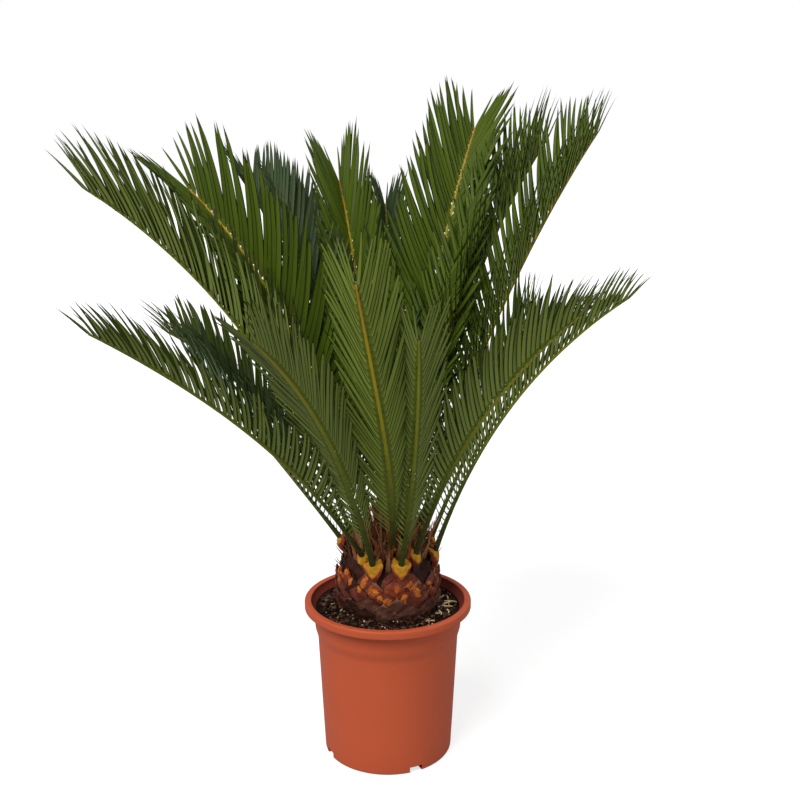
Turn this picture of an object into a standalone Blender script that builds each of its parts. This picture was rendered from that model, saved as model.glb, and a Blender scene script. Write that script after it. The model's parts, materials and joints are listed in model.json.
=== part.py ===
"""A young sago palm (Cycas revoluta) in a round plastic nursery pot.

Metres, +Z up. The origin is the centre of the pot's flat underside.
The pot holds a root ball of soil. The squat trunk stands on the soil, ringed by leaf bases.
Each frond is a rib that arches out from its own leaf base, with two ranks of blades
folded up into a V. The blades are coarse: each one stands for about four real leaflets.
"""
import math

import bmesh
import bpy
import numpy as np
from mathutils import Vector
from mathutils.bvhtree import BVHTree

NAME = "sago_palm_in_pot"
GAP = 0.0003                    # clearance between pieces that touch on the real plant
MERGE = 0.00001                 # weld distance for modifiers
POT_STEPS = 36                  # facets round the pot and its soil
TRUNK_STEPS = 22
FULL_TURN = 2 * math.pi
GOLDEN_ANGLE = math.radians(137.5)

# Pot: the driving size is the rim.
RIM_RADIUS = 0.118
POT_HEIGHT = 1.92 * RIM_RADIUS
FOOT_RADIUS = 0.775 * RIM_RADIUS
BODY_RADIUS = 0.835 * RIM_RADIUS
COLLAR_RADIUS = 0.882 * RIM_RADIUS
COLLAR_DEPTH = 0.056            # from the rim's top down to the step in the wall
STEP_HEIGHT = POT_HEIGHT - COLLAR_DEPTH
STEP_SLOPE = 0.010              # height over which the wall steps out to the collar
LIP_DEPTH = 0.011
LIP_WIDTH = 0.0095
LIP_INNER_RADIUS = RIM_RADIUS - LIP_WIDTH
LIP_ROUNDING = 0.0025
CORNER = 0.001                  # small breaks in the pot's other edges
WALL = 0.0016
FLOOR = 0.0022
FOOT_BEVEL = 0.003
DRAIN_COUNT = 4
DRAIN_WIDTH, DRAIN_HEIGHT, DRAIN_DEPTH = 0.019, 0.009, 0.016
DRAIN_START = math.radians(-64)     # the first drain hole, from +X
DRAIN_OVERRUN = 0.002           # how far its cutter runs past the pot

# Soil
SOIL_EDGE = POT_HEIGHT - 0.0125
SOIL_CROWN = SOIL_EDGE + 0.0035
SOIL_CROWN_RADIUS = 0.070       # level under the trunk, and falling from there to the wall
SOIL_CHAMFER = 0.020            # keeps the root ball clear of the drain holes

# Trunk
TRUNK_FOOT = SOIL_CROWN + GAP
TRUNK_TOP = 0.3130
TRUNK_TOP_RADIUS = 0.027
# Height above the soil and radius: swollen low down, drawn in under the crown.
TRUNK_OUTLINE = ((0.000, 0.0620), (0.012, 0.0685), (0.032, 0.0700), (0.052, 0.0685),
                 (0.068, 0.0630), (0.083, 0.0500))
SCALE_ROWS = 4
SCALES_PER_ROW = 11
SCALE_FIRST, SCALE_LAST = 0.012, 0.053      # heights of the first and last row above the soil
SCALE_WIDTH, SCALE_HEIGHT, SCALE_PROUD, SCALE_SUNK = 0.036, 0.030, 0.0080, 0.0012
SCALE_BELOW = 0.45              # part of a scale's height that is below its widest line
SCALE_OVERHANG = 0.004          # its proud tip hangs this far below its top
BOSS_SIDES = 6                  # the leaf base under each frond
BOSS_FOOT_RADIUS, BOSS_TOP_RADIUS = 0.0125, 0.0066
BOSS_FLATNESS = 0.8
BOSS_DROP = 0.030
BOSS_INWARD = 0.55              # its foot is this much of the way out that its top is

# Tuft of brown scale leaves in the middle of the crown
TUFT_RADIUS = 0.021
TUFT_HEIGHT = 0.052
TUFT_CORE = 0.8                 # part of the height that the cone in its middle takes
TUFT_SIDES = 10
TUFT_POINT = 0.25               # the cone's top radius, by its foot's
TUFT_SPIKES = 11
SPIKE_WIDTH, SPIKE_THICKNESS, SPIKE_HEIGHT = 0.0104, 0.0060, 0.032
SPIKE_LOWEST = 0.003
SPIKE_SPREAD = 1.15             # a spike's tip leans out by this

# Fronds. Tiers give the radius and height of the leaf bases that the ribs rise from.
TIERS = {"low": (0.0635, 0.2895), "outer": (0.0590, 0.3010), "middle": (0.0465, 0.3080),
         "inner": (0.0350, 0.3150)}
# tier, azimuth from +X, rise at the base, rise at the tip, length, sideways bend, roll, blades,
# fold of the two ranks of blades
FRONDS = (
    ("middle", 177, 71, 31, 0.615, -4, -6, 0.147, 56),
    ("middle", 155, 78, 38, 0.566, -3, 35, 0.162, 42),
    ("middle", 124, 70, 31, 0.620, 0, 0, 0.145, 50),
    ("outer", 117, 72, 29, 0.605, 0, 0, 0.125, 58),
    ("inner", 102, 67, 34, 0.620, 0, 12, 0.165, 58),
    ("middle", 88, 73, 30, 0.575, 6, 0, 0.115, 58),
    ("inner", 67, 72, 40, 0.680, 4, -8, 0.160, 38),
    ("middle", 49, 74, 41, 0.650, 0, 24, 0.145, 56),
    ("middle", 32, 69, 47, 0.660, 6, 13, 0.132, 54),
    ("low", 72, 60, 12, 0.500, 0, 0, 0.120, 50),
    ("outer", 92, 56, 8, 0.480, 0, 0, 0.115, 50),
    ("low", 144, 54, 14, 0.475, 0, 0, 0.115, 50),
    ("outer", 44, 58, 10, 0.470, 0, 0, 0.115, 50),
    ("outer", 14, 67, 65, 0.370, 0, 0, 0.095, 50),
    ("low", 350, 72, 35, 0.458, -10, 13, 0.084, 54),
    ("outer", 308, 66, 39, 0.445, 12, 0, 0.096, 54),
    ("low", 286, 64, 61, 0.386, -18, -2, 0.103, 48),
    ("middle", 276, 50, 70, 0.460, -32, -15, 0.115, 46),
    ("low", 254, 59, 30, 0.510, -3, -30, 0.098, 54),
    ("outer", 240, 51, 31, 0.525, -30, 14, 0.084, 54),
    ("outer", 171, 52, 48, 0.347, 0, 0, 0.098, 54),
)
RIB_BASE_RADIUS, RIB_TIP_RADIUS = 0.0046, 0.0015
RIB_POINTS = 13
RIB_STEPS = 24                  # straight steps that add up to a point on the rib
RIB_TAPER = 0.8
RISE_POWER = 1.3                # how late along the rib the frond arches over
FIRST_BLADE = 0.145             # part of the rib's length that is bare stalk
LAST_BLADE = 0.975
BLADE_PITCH = 0.035
SHORTEST_BLADE, GROWN_OVER = 0.18, 0.26     # blades lengthen over this share of the rib
FADE_FROM, BLADE_FADE = 0.87, 0.50          # from here to the frond's tip they shorten by this
BLADE_WIDTH, BLADE_THICKNESS = 0.0165, 0.0020
BLADE_ROOT_WIDTH, BLADE_ROOT_THICKNESS = 0.0032, 0.0014
SLIM_BELOW = 0.06               # a blade shorter than this is narrower too
ROOT_SINK = 0.4                 # how far past the rib's middle a root goes, in rib radii
ELBOW = 0.45                    # where along its length a blade is widest, and bends
BLADE_ANGLE_BASE, BLADE_ANGLE_TIP = math.radians(48), math.radians(33)   # from the rib
ANGLE_POWER = 1.2
FOLD_MORE = math.radians(6)     # the ranks fold up this much more at the frond's tip
BLADE_CURL = math.radians(12)   # a blade's end leans on towards the frond's tip
CLEARANCE = 0.0010              # kept between the blades of different fronds
SHORTER = (1.0, 0.85, 0.7, 0.55, 0.4)   # a blade that meets another frond is cut back in steps


def empty_scene():
    for obj in list(bpy.data.objects):
        bpy.data.objects.remove(obj, do_unlink=True)


def new_collection(name):
    collection = bpy.data.collections.new(name)
    bpy.context.scene.collection.children.link(collection)
    return collection


def material(name, colour, roughness, metallic=0.0):
    made = bpy.data.materials.new(name)
    made.use_nodes = True
    shader = made.node_tree.nodes["Principled BSDF"]
    shader.inputs["Base Color"].default_value = (*colour, 1.0)
    shader.inputs["Roughness"].default_value = roughness
    shader.inputs["Metallic"].default_value = metallic
    made.diffuse_color = (*colour, 1.0)
    return made


def move_to(obj, collection):
    """Take an object out of the collections it is in and put it in this one."""
    for holder in list(obj.users_collection):
        holder.objects.unlink(obj)
    collection.objects.link(obj)


def mesh_object(name, verts, faces, collection, edges=()):
    mesh = bpy.data.meshes.new(name)
    mesh.from_pydata([tuple(v) for v in verts], list(edges), faces)
    mesh.update()
    obj = bpy.data.objects.new(name, mesh)
    collection.objects.link(obj)
    return obj


def turned(name, profile, collection, steps=POT_STEPS):
    """Turn (radius, height) pairs about Z. They run down the outside and up the inside."""
    verts = [(radius, 0.0, height) for radius, height in profile]
    edges = [(i, i + 1) for i in range(len(verts) - 1)]
    if profile[0] != profile[-1] and profile[0][0] > 0.0 and profile[-1][0] > 0.0:
        edges.append((len(verts) - 1, 0))
    obj = mesh_object(name, verts, [], collection, edges)
    screw = obj.modifiers.new("Turn", "SCREW")
    screw.steps = screw.render_steps = steps
    screw.use_merge_vertices = True
    screw.merge_threshold = MERGE
    screw.use_normal_calculate = True
    return obj


def bake(obj, weld=MERGE):
    """Swap an object's modifiers, or a curve's tube, for the plain mesh that they make."""
    view_layer = bpy.context.view_layer
    view_layer.update()
    evaluated = obj.evaluated_get(view_layer.depsgraph)
    mesh = bpy.data.meshes.new_from_object(evaluated)
    work = bmesh.new()
    work.from_mesh(mesh)
    if weld:
        bmesh.ops.remove_doubles(work, verts=work.verts, dist=weld)
        bmesh.ops.recalc_face_normals(work, faces=work.faces)
    work.to_mesh(mesh)
    work.free()
    baked = bpy.data.objects.new(obj.name, mesh)
    baked.matrix_world = obj.matrix_world
    for collection in obj.users_collection:
        collection.objects.link(baked)
    name = obj.name
    bpy.data.objects.remove(obj, do_unlink=True)
    baked.name = name
    return baked


def unite(obj, extras):
    """Fuse a collection of closed pieces into obj, apply it, and remove the pieces."""
    join = obj.modifiers.new("Unite", "BOOLEAN")
    join.operation = "UNION"
    join.operand_type = "COLLECTION"
    join.collection = extras
    join.solver = "MANIFOLD"
    fused = bake(obj, weld=0.0)
    for piece in list(extras.objects):
        bpy.data.objects.remove(piece, do_unlink=True)
    bpy.data.collections.remove(extras)
    return fused


def finish(obj, made_of, smooth_angle=40):
    obj.data.materials.clear()
    obj.data.materials.append(made_of)
    obj.data.shade_smooth()
    obj.data.set_sharp_from_angle(angle=math.radians(smooth_angle))
    return obj


def around(radius, angle, height):
    return Vector((radius * math.cos(angle), radius * math.sin(angle), height))


def blend(start, end, share):
    return start + (end - start) * share


# --- pot and soil -------------------------------------------------------------------------

def wall_radius(height):
    """Outer radius of the pot's plain wall, which widens upwards to the step."""
    return blend(FOOT_RADIUS, BODY_RADIUS, min(height / STEP_HEIGHT, 1.0))


def pot_inside():
    """The inner face as (radius, height) pairs, from the floor's edge up to the lip."""
    return [(wall_radius(FLOOR) - WALL - CORNER, FLOOR),
            (wall_radius(FLOOR + FOOT_BEVEL) - WALL, FLOOR + FOOT_BEVEL),
            (BODY_RADIUS - WALL, STEP_HEIGHT - CORNER),
            (COLLAR_RADIUS - WALL - CORNER, STEP_HEIGHT + STEP_SLOPE),
            (COLLAR_RADIUS - WALL, POT_HEIGHT - LIP_DEPTH)]


def make_pot(parts, cutters, plastic):
    outside = [(0.0, 0.0), (FOOT_RADIUS - FOOT_BEVEL, 0.0), (FOOT_RADIUS, FOOT_BEVEL),
               (BODY_RADIUS, STEP_HEIGHT), (COLLAR_RADIUS - CORNER, STEP_HEIGHT + STEP_SLOPE),
               (COLLAR_RADIUS, POT_HEIGHT - LIP_DEPTH - CORNER),
               (RIM_RADIUS - CORNER, POT_HEIGHT - LIP_DEPTH),
               (RIM_RADIUS, POT_HEIGHT - LIP_ROUNDING), (RIM_RADIUS - LIP_ROUNDING, POT_HEIGHT)]
    lip = [(LIP_INNER_RADIUS + CORNER, POT_HEIGHT),
           (LIP_INNER_RADIUS - CORNER, POT_HEIGHT - LIP_ROUNDING)]
    profile = outside + lip + pot_inside()[::-1] + [(0.0, FLOOR)]
    pot = turned("pot", profile[::-1], parts)
    for index in range(DRAIN_COUNT):
        angle = DRAIN_START + index * FULL_TURN / DRAIN_COUNT
        place = around(FOOT_RADIUS + DRAIN_OVERRUN - DRAIN_DEPTH / 2, angle,
                       (DRAIN_HEIGHT - DRAIN_OVERRUN) / 2)
        bpy.ops.mesh.primitive_cube_add(size=1.0, location=place, rotation=(0, 0, angle))
        cutter = bpy.context.object
        cutter.name = f"drain_cutter_{index + 1}"
        cutter.scale = (DRAIN_DEPTH, DRAIN_WIDTH, DRAIN_HEIGHT + DRAIN_OVERRUN)
        move_to(cutter, cutters)
        cutter.hide_render = True
        cutter.display_type = "WIRE"
        cut = pot.modifiers.new(f"Drain {index + 1}", "BOOLEAN")
        cut.operation = "DIFFERENCE"
        cut.object = cutter
    finish(pot, plastic)


def make_soil(parts, earth):
    inside = [(radius - GAP, height) for radius, height in pot_inside()]
    edge_radius = inside[-1][0]
    bottom = FLOOR + GAP
    side = wall_radius(bottom + SOIL_CHAMFER) - WALL - GAP
    profile = [(0.0, bottom), (side - SOIL_CHAMFER, bottom), (side, bottom + SOIL_CHAMFER),
               inside[2], inside[3], (edge_radius, SOIL_EDGE),
               (SOIL_CROWN_RADIUS, SOIL_CROWN), (0.0, SOIL_CROWN)]
    finish(turned("soil", profile[::-1], parts), earth)


# --- trunk --------------------------------------------------------------------------------

def trunk_radius(height):
    """Radius of the trunk's core at a height above the soil."""
    heights = [row[0] for row in TRUNK_OUTLINE]
    radii = [row[1] for row in TRUNK_OUTLINE]
    return float(np.interp(height, heights, radii))


def make_scale(angle, height, extras):
    """One old leaf base: a rhombus of bark that stands proud near its upper tip."""
    half = SCALE_WIDTH / 2 / trunk_radius(height)
    low = height - SCALE_HEIGHT * SCALE_BELOW
    high = low + SCALE_HEIGHT
    corners = ((angle, low), (angle + half, height), (angle, high), (angle - half, height))
    verts = [around(trunk_radius(h) - SCALE_SUNK, a, TRUNK_FOOT + max(h, SCALE_SUNK))
             for a, h in corners]
    verts.append(around(trunk_radius(high) + SCALE_PROUD, angle,
                        TRUNK_FOOT + high - SCALE_OVERHANG))
    faces = [(0, 3, 2, 1), (0, 1, 4), (1, 2, 4), (2, 3, 4), (3, 0, 4)]
    fix_normals(mesh_object("scale", verts, faces, extras))


def make_boss(frond, extras):
    """The leaf base under a frond: a tapered block whose flat end faces the stalk's."""
    spine = frond_frame(frond, 0.0)
    outward = (frond_frame(frond, 1 / (RIB_POINTS - 1))["point"] - spine["point"]).normalized()
    over = spine["side"].cross(outward) * BOSS_FLATNESS
    top = spine["point"] - outward * GAP
    bottom = Vector((top.x * BOSS_INWARD, top.y * BOSS_INWARD, top.z - BOSS_DROP))
    verts = []
    for centre, reach in ((bottom, BOSS_FOOT_RADIUS), (top, BOSS_TOP_RADIUS)):
        for index in range(BOSS_SIDES):
            angle = index * FULL_TURN / BOSS_SIDES
            verts.append(centre + reach * (math.cos(angle) * spine["side"]
                                           + math.sin(angle) * over))
    faces = [tuple(range(BOSS_SIDES))[::-1], tuple(range(BOSS_SIDES, 2 * BOSS_SIDES))]
    for index in range(BOSS_SIDES):
        after = (index + 1) % BOSS_SIDES
        faces.append((index, after, after + BOSS_SIDES, index + BOSS_SIDES))
    fix_normals(mesh_object("boss", verts, faces, extras))


def fix_normals(obj):
    work = bmesh.new()
    work.from_mesh(obj.data)
    bmesh.ops.recalc_face_normals(work, faces=work.faces)
    work.to_mesh(obj.data)
    work.free()


def make_trunk(parts, bark):
    outline = [(radius, TRUNK_FOOT + height) for height, radius in TRUNK_OUTLINE]
    profile = ([(0.0, TRUNK_FOOT)] + outline
               + [(TRUNK_TOP_RADIUS, TRUNK_TOP), (0.0, TRUNK_TOP)])
    trunk = bake(turned("trunk", profile[::-1], parts, TRUNK_STEPS))
    extras = new_collection("trunk extras")
    for row in range(SCALE_ROWS):
        height = blend(SCALE_FIRST, SCALE_LAST, row / (SCALE_ROWS - 1))
        for index in range(SCALES_PER_ROW):
            angle = (index + 0.5 * (row % 2)) * FULL_TURN / SCALES_PER_ROW
            make_scale(angle, height, extras)
    for frond in FRONDS:
        make_boss(frond, extras)
    return finish(unite(trunk, extras), bark, 25)


def make_tuft(parts, husk):
    foot = TRUNK_TOP + GAP
    tall = TUFT_HEIGHT * TUFT_CORE
    bpy.ops.mesh.primitive_cone_add(vertices=TUFT_SIDES, radius1=TUFT_RADIUS,
                                    radius2=TUFT_RADIUS * TUFT_POINT, depth=tall,
                                    location=(0, 0, foot + tall / 2))
    core = bpy.context.object
    core.name = "tuft"
    move_to(core, parts)
    extras = new_collection("tuft extras")
    for index in range(TUFT_SPIKES):
        angle = index * GOLDEN_ANGLE
        share = index / (TUFT_SPIKES - 1)
        low = blend(foot + SPIKE_LOWEST, foot + TUFT_HEIGHT / 2, share)
        ring = TUFT_RADIUS * blend(0.80, 0.35, share)
        tip = around(ring * SPIKE_SPREAD, angle, min(low + SPIKE_HEIGHT, foot + TUFT_HEIGHT))
        across = around(SPIKE_WIDTH / 2, angle + FULL_TURN / 4, 0.0)
        out = around(SPIKE_THICKNESS / 2, angle, 0.0)
        middle = around(ring, angle, low)
        verts = [middle - across - out, middle + across - out, middle + out, tip]
        faces = [(0, 1, 2), (0, 3, 1), (1, 3, 2), (2, 3, 0)]
        fix_normals(mesh_object("spike", verts, faces, extras))
    return finish(unite(bake(core), extras), husk, 25)


# --- fronds -------------------------------------------------------------------------------

def rib_direction(frond, share):
    """Unit direction of the rib, and its compass angle, at a share of its length."""
    azimuth, rise, droop, bend = frond[1], frond[2], frond[3], frond[5]
    lift = math.radians(blend(rise, droop, share ** RISE_POWER))
    turn = math.radians(azimuth + bend * share)
    return around(math.cos(lift), turn, math.sin(lift)), turn


def frond_frame(frond, share):
    """Point, direction, side, upper face and radius of the rib at a share of its length."""
    tier, azimuth, length = frond[0], frond[1], frond[4]
    ring, height = TIERS[tier]
    point = around(ring, math.radians(azimuth), height)
    step = share / RIB_STEPS
    for index in range(RIB_STEPS):
        point += rib_direction(frond, (index + 0.5) * step)[0] * length * step
    along, turn = rib_direction(frond, share)
    level = Vector((math.sin(turn), -math.cos(turn), 0.0))
    raised = level.cross(along)
    roll = math.radians(frond[6])
    side = level * math.cos(roll) + raised * math.sin(roll)
    return {"point": point, "along": along, "side": side, "up": side.cross(along),
            "radius": blend(RIB_BASE_RADIUS, RIB_TIP_RADIUS, share ** RIB_TAPER)}


def blade_length(frond, share):
    """Short spines near the stalk, full length over the middle, shorter again at the tip."""
    grow = min(1.0, SHORTEST_BLADE + (share - FIRST_BLADE) / GROWN_OVER)
    fade = BLADE_FADE * max(0.0, (share - FADE_FROM) / (1.0 - FADE_FROM))
    return frond[7] * grow * (1.0 - fade)


def blade_axis(frond, share, hand, reach):
    """Root, middle and tip of one blade, the direction of its width, and its upper side."""
    spine = frond_frame(frond, share)
    angle = blend(BLADE_ANGLE_BASE, BLADE_ANGLE_TIP, share ** ANGLE_POWER)
    fold = math.radians(frond[8]) + FOLD_MORE * share
    outward = spine["side"] * hand * math.cos(fold) + spine["up"] * math.sin(fold)
    first = spine["along"] * math.cos(angle) + outward * math.sin(angle)
    later = angle - BLADE_CURL
    second = spine["along"] * math.cos(later) + outward * math.sin(later)
    width = spine["along"] * math.sin(angle) - outward * math.cos(angle)
    root = spine["point"] - first * spine["radius"] * ROOT_SINK
    middle = root + first * reach * ELBOW
    tip = middle + second * reach * (1.0 - ELBOW)
    return root, middle, tip, width, outward.cross(spine["along"]) * hand


def blade_mesh(frond, share, hand, reach, margin=0.0):
    """A three-sided blade: flat on top, with a keel below, widest at its middle."""
    root, middle, tip, width, over = blade_axis(frond, share, hand, reach)
    slim = min(1.0, reach / SLIM_BELOW)
    wide = BLADE_WIDTH * slim / 2 + margin
    narrow = BLADE_ROOT_WIDTH * slim / 2 + margin
    thin = BLADE_ROOT_THICKNESS / 2 + margin
    thick = BLADE_THICKNESS / 2 + margin
    verts = [root - width * narrow + over * thin, root + width * narrow + over * thin,
             root - over * thin,
             middle - width * wide + over * thick, middle + width * wide + over * thick,
             middle - over * thick, tip + (tip - middle).normalized() * margin]
    faces = [(0, 1, 2), (0, 3, 4, 1), (1, 4, 5, 2), (2, 5, 3, 0), (3, 6, 4), (4, 6, 5), (5, 6, 3)]
    return verts, faces


def blade_places(frond):
    """Share of the rib's length and hand of each blade: the two ranks take turns."""
    pairs = int(round(frond[4] * (1.0 - FIRST_BLADE) / BLADE_PITCH))
    count = 2 * pairs
    return [(blend(FIRST_BLADE, LAST_BLADE, index / (count - 1)), 1 if index % 2 else -1)
            for index in range(count)]


def make_rib(name, frond, parts):
    curve = bpy.data.curves.new(name, "CURVE")
    curve.dimensions = "3D"
    curve.bevel_depth = 1.0
    curve.bevel_resolution = 0      # four sides: each rank grows out of an upper one
    curve.twist_mode = "Z_UP"
    curve.use_fill_caps = True
    spline = curve.splines.new("POLY")
    spline.points.add(RIB_POINTS - 1)
    for index in range(RIB_POINTS):
        spine = frond_frame(frond, index / (RIB_POINTS - 1))
        spline.points[index].co = (*spine["point"], 1.0)
        spline.points[index].radius = spine["radius"]
    rib = bpy.data.objects.new(name, curve)
    parts.objects.link(rib)
    return bake(rib)


def tree_of(pieces):
    """One search tree over several (verts, faces) pieces."""
    verts, faces = [], []
    for piece_verts, piece_faces in pieces:
        start = len(verts)
        verts += piece_verts
        faces += [tuple(start + i for i in face) for face in piece_faces]
    return BVHTree.FromPolygons(verts, faces)


def shape_of(obj):
    return ([obj.matrix_world @ v.co for v in obj.data.vertices],
            [tuple(polygon.vertices) for polygon in obj.data.polygons])


def make_fronds(parts, leaf, solids):
    """Grow every rib first, then each frond's blades, which keep clear of what is there."""
    names = [f"frond_{index + 1:02d}" for index in range(len(FRONDS))]
    ribs = [make_rib(name, frond, parts) for name, frond in zip(names, FRONDS)]
    fixed = [shape_of(solid) for solid in solids]
    grown = []
    for index, frond in enumerate(FRONDS):
        others = [shape_of(rib) for k, rib in enumerate(ribs) if k != index]
        tree = tree_of(fixed + others + grown)
        extras = new_collection(f"blades {index + 1}")
        mine = []
        for share, hand in blade_places(frond):
            full = blade_length(frond, share)
            for shorter in SHORTER:
                swollen = blade_mesh(frond, share, hand, full * shorter, CLEARANCE)
                if tree.overlap(tree_of([swollen])):
                    continue
                verts, faces = blade_mesh(frond, share, hand, full * shorter)
                fix_normals(mesh_object("blade", verts, faces, extras))
                mine.append((verts, faces))
                break
        grown += mine
        finish(unite(ribs[index], extras), leaf, 30)
        ribs[index] = bpy.data.objects[names[index]]


def main():
    empty_scene()
    parts = new_collection(NAME)
    cutters = new_collection("cutters")
    make_pot(parts, cutters, material("pot plastic", (0.48, 0.090, 0.036), 0.45))
    make_soil(parts, material("potting soil", (0.020, 0.012, 0.008), 0.95))
    trunk = make_trunk(parts, material("trunk bark", (0.110, 0.030, 0.022), 0.80))
    tuft = make_tuft(parts, material("tuft husk", (0.120, 0.040, 0.020), 0.85))
    make_fronds(parts, material("frond leaf", (0.052, 0.078, 0.014), 0.45), [trunk, tuft])


main()
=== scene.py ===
# %% [markdown]
# # A young sago palm in a nursery pot
#
# A sago palm looks like a palm but is a cycad. A squat trunk, the caudex, carries a ring of
# stiff fronds. The trunk is armoured with the bases of old leaves, and the fronds rise from
# between them like the petals of a vase. This lesson dresses the plain solids of a packed
# model: each solid keeps its place, and a finer mesh stands in for it.
#
# The solids are loaded first. No finer mesh may reach far past it.

# %% Load the imported model
import json
import math
from collections import namedtuple

import bpy
import numpy as np
from mathutils import Matrix, Vector, noise

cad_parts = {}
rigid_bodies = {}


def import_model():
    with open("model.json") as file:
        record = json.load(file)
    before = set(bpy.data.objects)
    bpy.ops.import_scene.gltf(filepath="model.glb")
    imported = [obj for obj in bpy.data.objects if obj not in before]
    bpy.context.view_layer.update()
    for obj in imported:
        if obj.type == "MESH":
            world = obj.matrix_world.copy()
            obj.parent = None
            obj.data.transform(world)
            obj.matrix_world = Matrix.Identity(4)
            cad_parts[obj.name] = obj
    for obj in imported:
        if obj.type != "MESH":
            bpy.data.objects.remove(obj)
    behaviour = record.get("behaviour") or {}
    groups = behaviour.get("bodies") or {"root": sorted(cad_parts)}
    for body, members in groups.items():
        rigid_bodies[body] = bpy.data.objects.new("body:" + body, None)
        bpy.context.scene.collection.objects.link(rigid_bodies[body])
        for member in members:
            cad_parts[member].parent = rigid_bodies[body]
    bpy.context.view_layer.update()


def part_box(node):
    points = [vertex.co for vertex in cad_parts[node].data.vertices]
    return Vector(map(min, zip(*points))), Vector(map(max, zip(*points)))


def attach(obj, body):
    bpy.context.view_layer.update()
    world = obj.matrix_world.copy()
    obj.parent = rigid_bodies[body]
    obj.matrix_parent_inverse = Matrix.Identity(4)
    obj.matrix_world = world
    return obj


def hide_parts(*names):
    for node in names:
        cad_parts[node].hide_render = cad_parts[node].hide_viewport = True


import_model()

# %% [markdown]
# ## Driving sizes
#
# The pot, the soil and the trunk are read from the solids, so the dressed plant can't drift
# away from them. Only what a solid's box doesn't tell is named here: wall thickness, the
# depth of the collar, and the swollen outline of the trunk.

# %% Sizes
MM = 0.001
FULL_TURN = 2 * math.pi
GOLDEN_ANGLE = math.radians(137.5)

pot_low, pot_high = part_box("pot")
RIM_RADIUS = (pot_high.x - pot_low.x) / 2
POT_HEIGHT = pot_high.z
FOOT_RADIUS = 0.775 * RIM_RADIUS
BODY_RADIUS = 0.843 * RIM_RADIUS
COLLAR_RADIUS = 0.878 * RIM_RADIUS
STEP_HEIGHT = POT_HEIGHT - 56 * MM
STEP_SLOPE = 20 * MM
LIP_DEPTH = 11 * MM
LIP_WIDTH = 9.5 * MM
WALL = 1.6 * MM
FLOOR = 2.2 * MM

SOIL_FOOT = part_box("soil")[0].z
SOIL_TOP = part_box("soil")[1].z
SOIL_EDGE = SOIL_TOP - 3.5 * MM
TRUNK_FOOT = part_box("trunk")[0].z
TRUNK_TOP = 0.3130
TRUNK_OUTLINE = ((0.000, 0.0670), (0.012, 0.0690), (0.032, 0.0700), (0.052, 0.0685),
                 (0.068, 0.0630), (0.083, 0.0500), (TRUNK_TOP - TRUNK_FOOT, 0.0270))
# The trunk's widest radius, and the one at which the width of a leaf base is measured.
TRUNK_GIRTH, BASE_GIRTH = 0.070, 0.068
print("rim radius", round(RIM_RADIUS, 4), "soil at", round(SOIL_TOP, 4))

# %% [markdown]
# ## Tools for meshes
#
# Nearly everything on this plant is a rod of some kind: a leaflet is a flat rod that ends in
# a point, a leaf stalk is a round one, and so are a root and a fibre. A curve object could make
# each of them, but thousands of curves are slow. One helper that carries a cross-section
# along many centre lines at once makes them all as plain meshes, with arrays.

# %% Helpers for meshes
# How far a rod's closing point stands past its last ring, as a share of the last step.
TIP_REACH = 0.35


def unit(vectors):
    return vectors / np.linalg.norm(vectors, axis=-1, keepdims=True)


def blend(start, end, share):
    return start + (end - start) * share


def around(radius, angle, height):
    """A point, or an array of points, on a circle about the plant's axis."""
    radius, angle, height = np.broadcast_arrays(radius, angle, height)
    return np.stack([radius * np.cos(angle), radius * np.sin(angle), height], -1)


def rods(centres, across, over, section):
    """Carry a section along n centre lines of m points, and close each rod.

    across and over are the section's two axes at each point, with their lengths.
    Returns the points, the side faces by (rod, step, side), the caps and the tip faces."""
    count, steps = centres.shape[:2]
    sides = len(section)
    rings = (centres[:, :, None] + section[None, None, :, :1] * across[:, :, None]
             + section[None, None, :, 1:] * over[:, :, None])
    tips = centres[:, -1] + (centres[:, -1] - centres[:, -2]) * TIP_REACH
    number = np.arange(count * steps * sides).reshape(count, steps, sides)
    after = np.roll(number, -1, 2)
    quads = np.stack([number[:, :-1], after[:, :-1], after[:, 1:], number[:, 1:]], -1)
    tip_number = count * steps * sides + np.arange(count)
    fans = np.stack([number[:, -1], after[:, -1],
                     np.broadcast_to(tip_number[:, None], (count, sides))], -1)
    return np.concatenate([rings.reshape(-1, 3), tips]), quads, number[:, 0, ::-1], fans


class Heap:
    """Collects shapes, each with its finish, and joins them into one mesh at the end."""

    def __init__(self):
        self.points, self.faces, self.finishes, self.count = [], [], [], 0

    def add(self, points, faces, finishes):
        points = np.asarray(points, float).reshape(-1, 3)
        start = self.count
        self.points.append(points)
        self.faces += [[corner + start for corner in face] for face in faces]
        self.finishes += [finishes] * len(faces) if isinstance(finishes, int) else list(finishes)
        self.count += len(points)

    def add_rods(self, centres, across, over, section, finish):
        """finish is one number, or an array by (rod, step, side)."""
        points, quads, caps, fans = rods(centres, across, over, section)
        picked = np.broadcast_to(finish, quads.shape[:3])
        finishes = np.concatenate([picked.reshape(-1), picked[:, 0, 0], picked[:, -1].reshape(-1)])
        self.add(points, quads.reshape(-1, 4).tolist() + caps.tolist() + fans.reshape(-1, 3).tolist(),
                 finishes.tolist())

    def make(self, name, materials, sharp=50):
        """Make the object; edges that bend by more than sharp degrees stay sharp."""
        mesh = bpy.data.meshes.new(name)
        mesh.from_pydata(np.concatenate(self.points).tolist(), [], self.faces)
        for made_of in materials:
            mesh.materials.append(made_of)
        mesh.polygons.foreach_set("material_index", self.finishes)
        mesh.shade_smooth()
        mesh.set_sharp_from_angle(angle=math.radians(sharp))
        mesh.update()
        obj = bpy.data.objects.new(name, mesh)
        bpy.context.scene.collection.objects.link(obj)
        return obj


def dress(piece, slot, *nodes):
    """The piece moves with the plant and stands in for nodes; slot is not used."""
    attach(piece, "root")
    if nodes:
        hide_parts(*nodes)
    return piece


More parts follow.
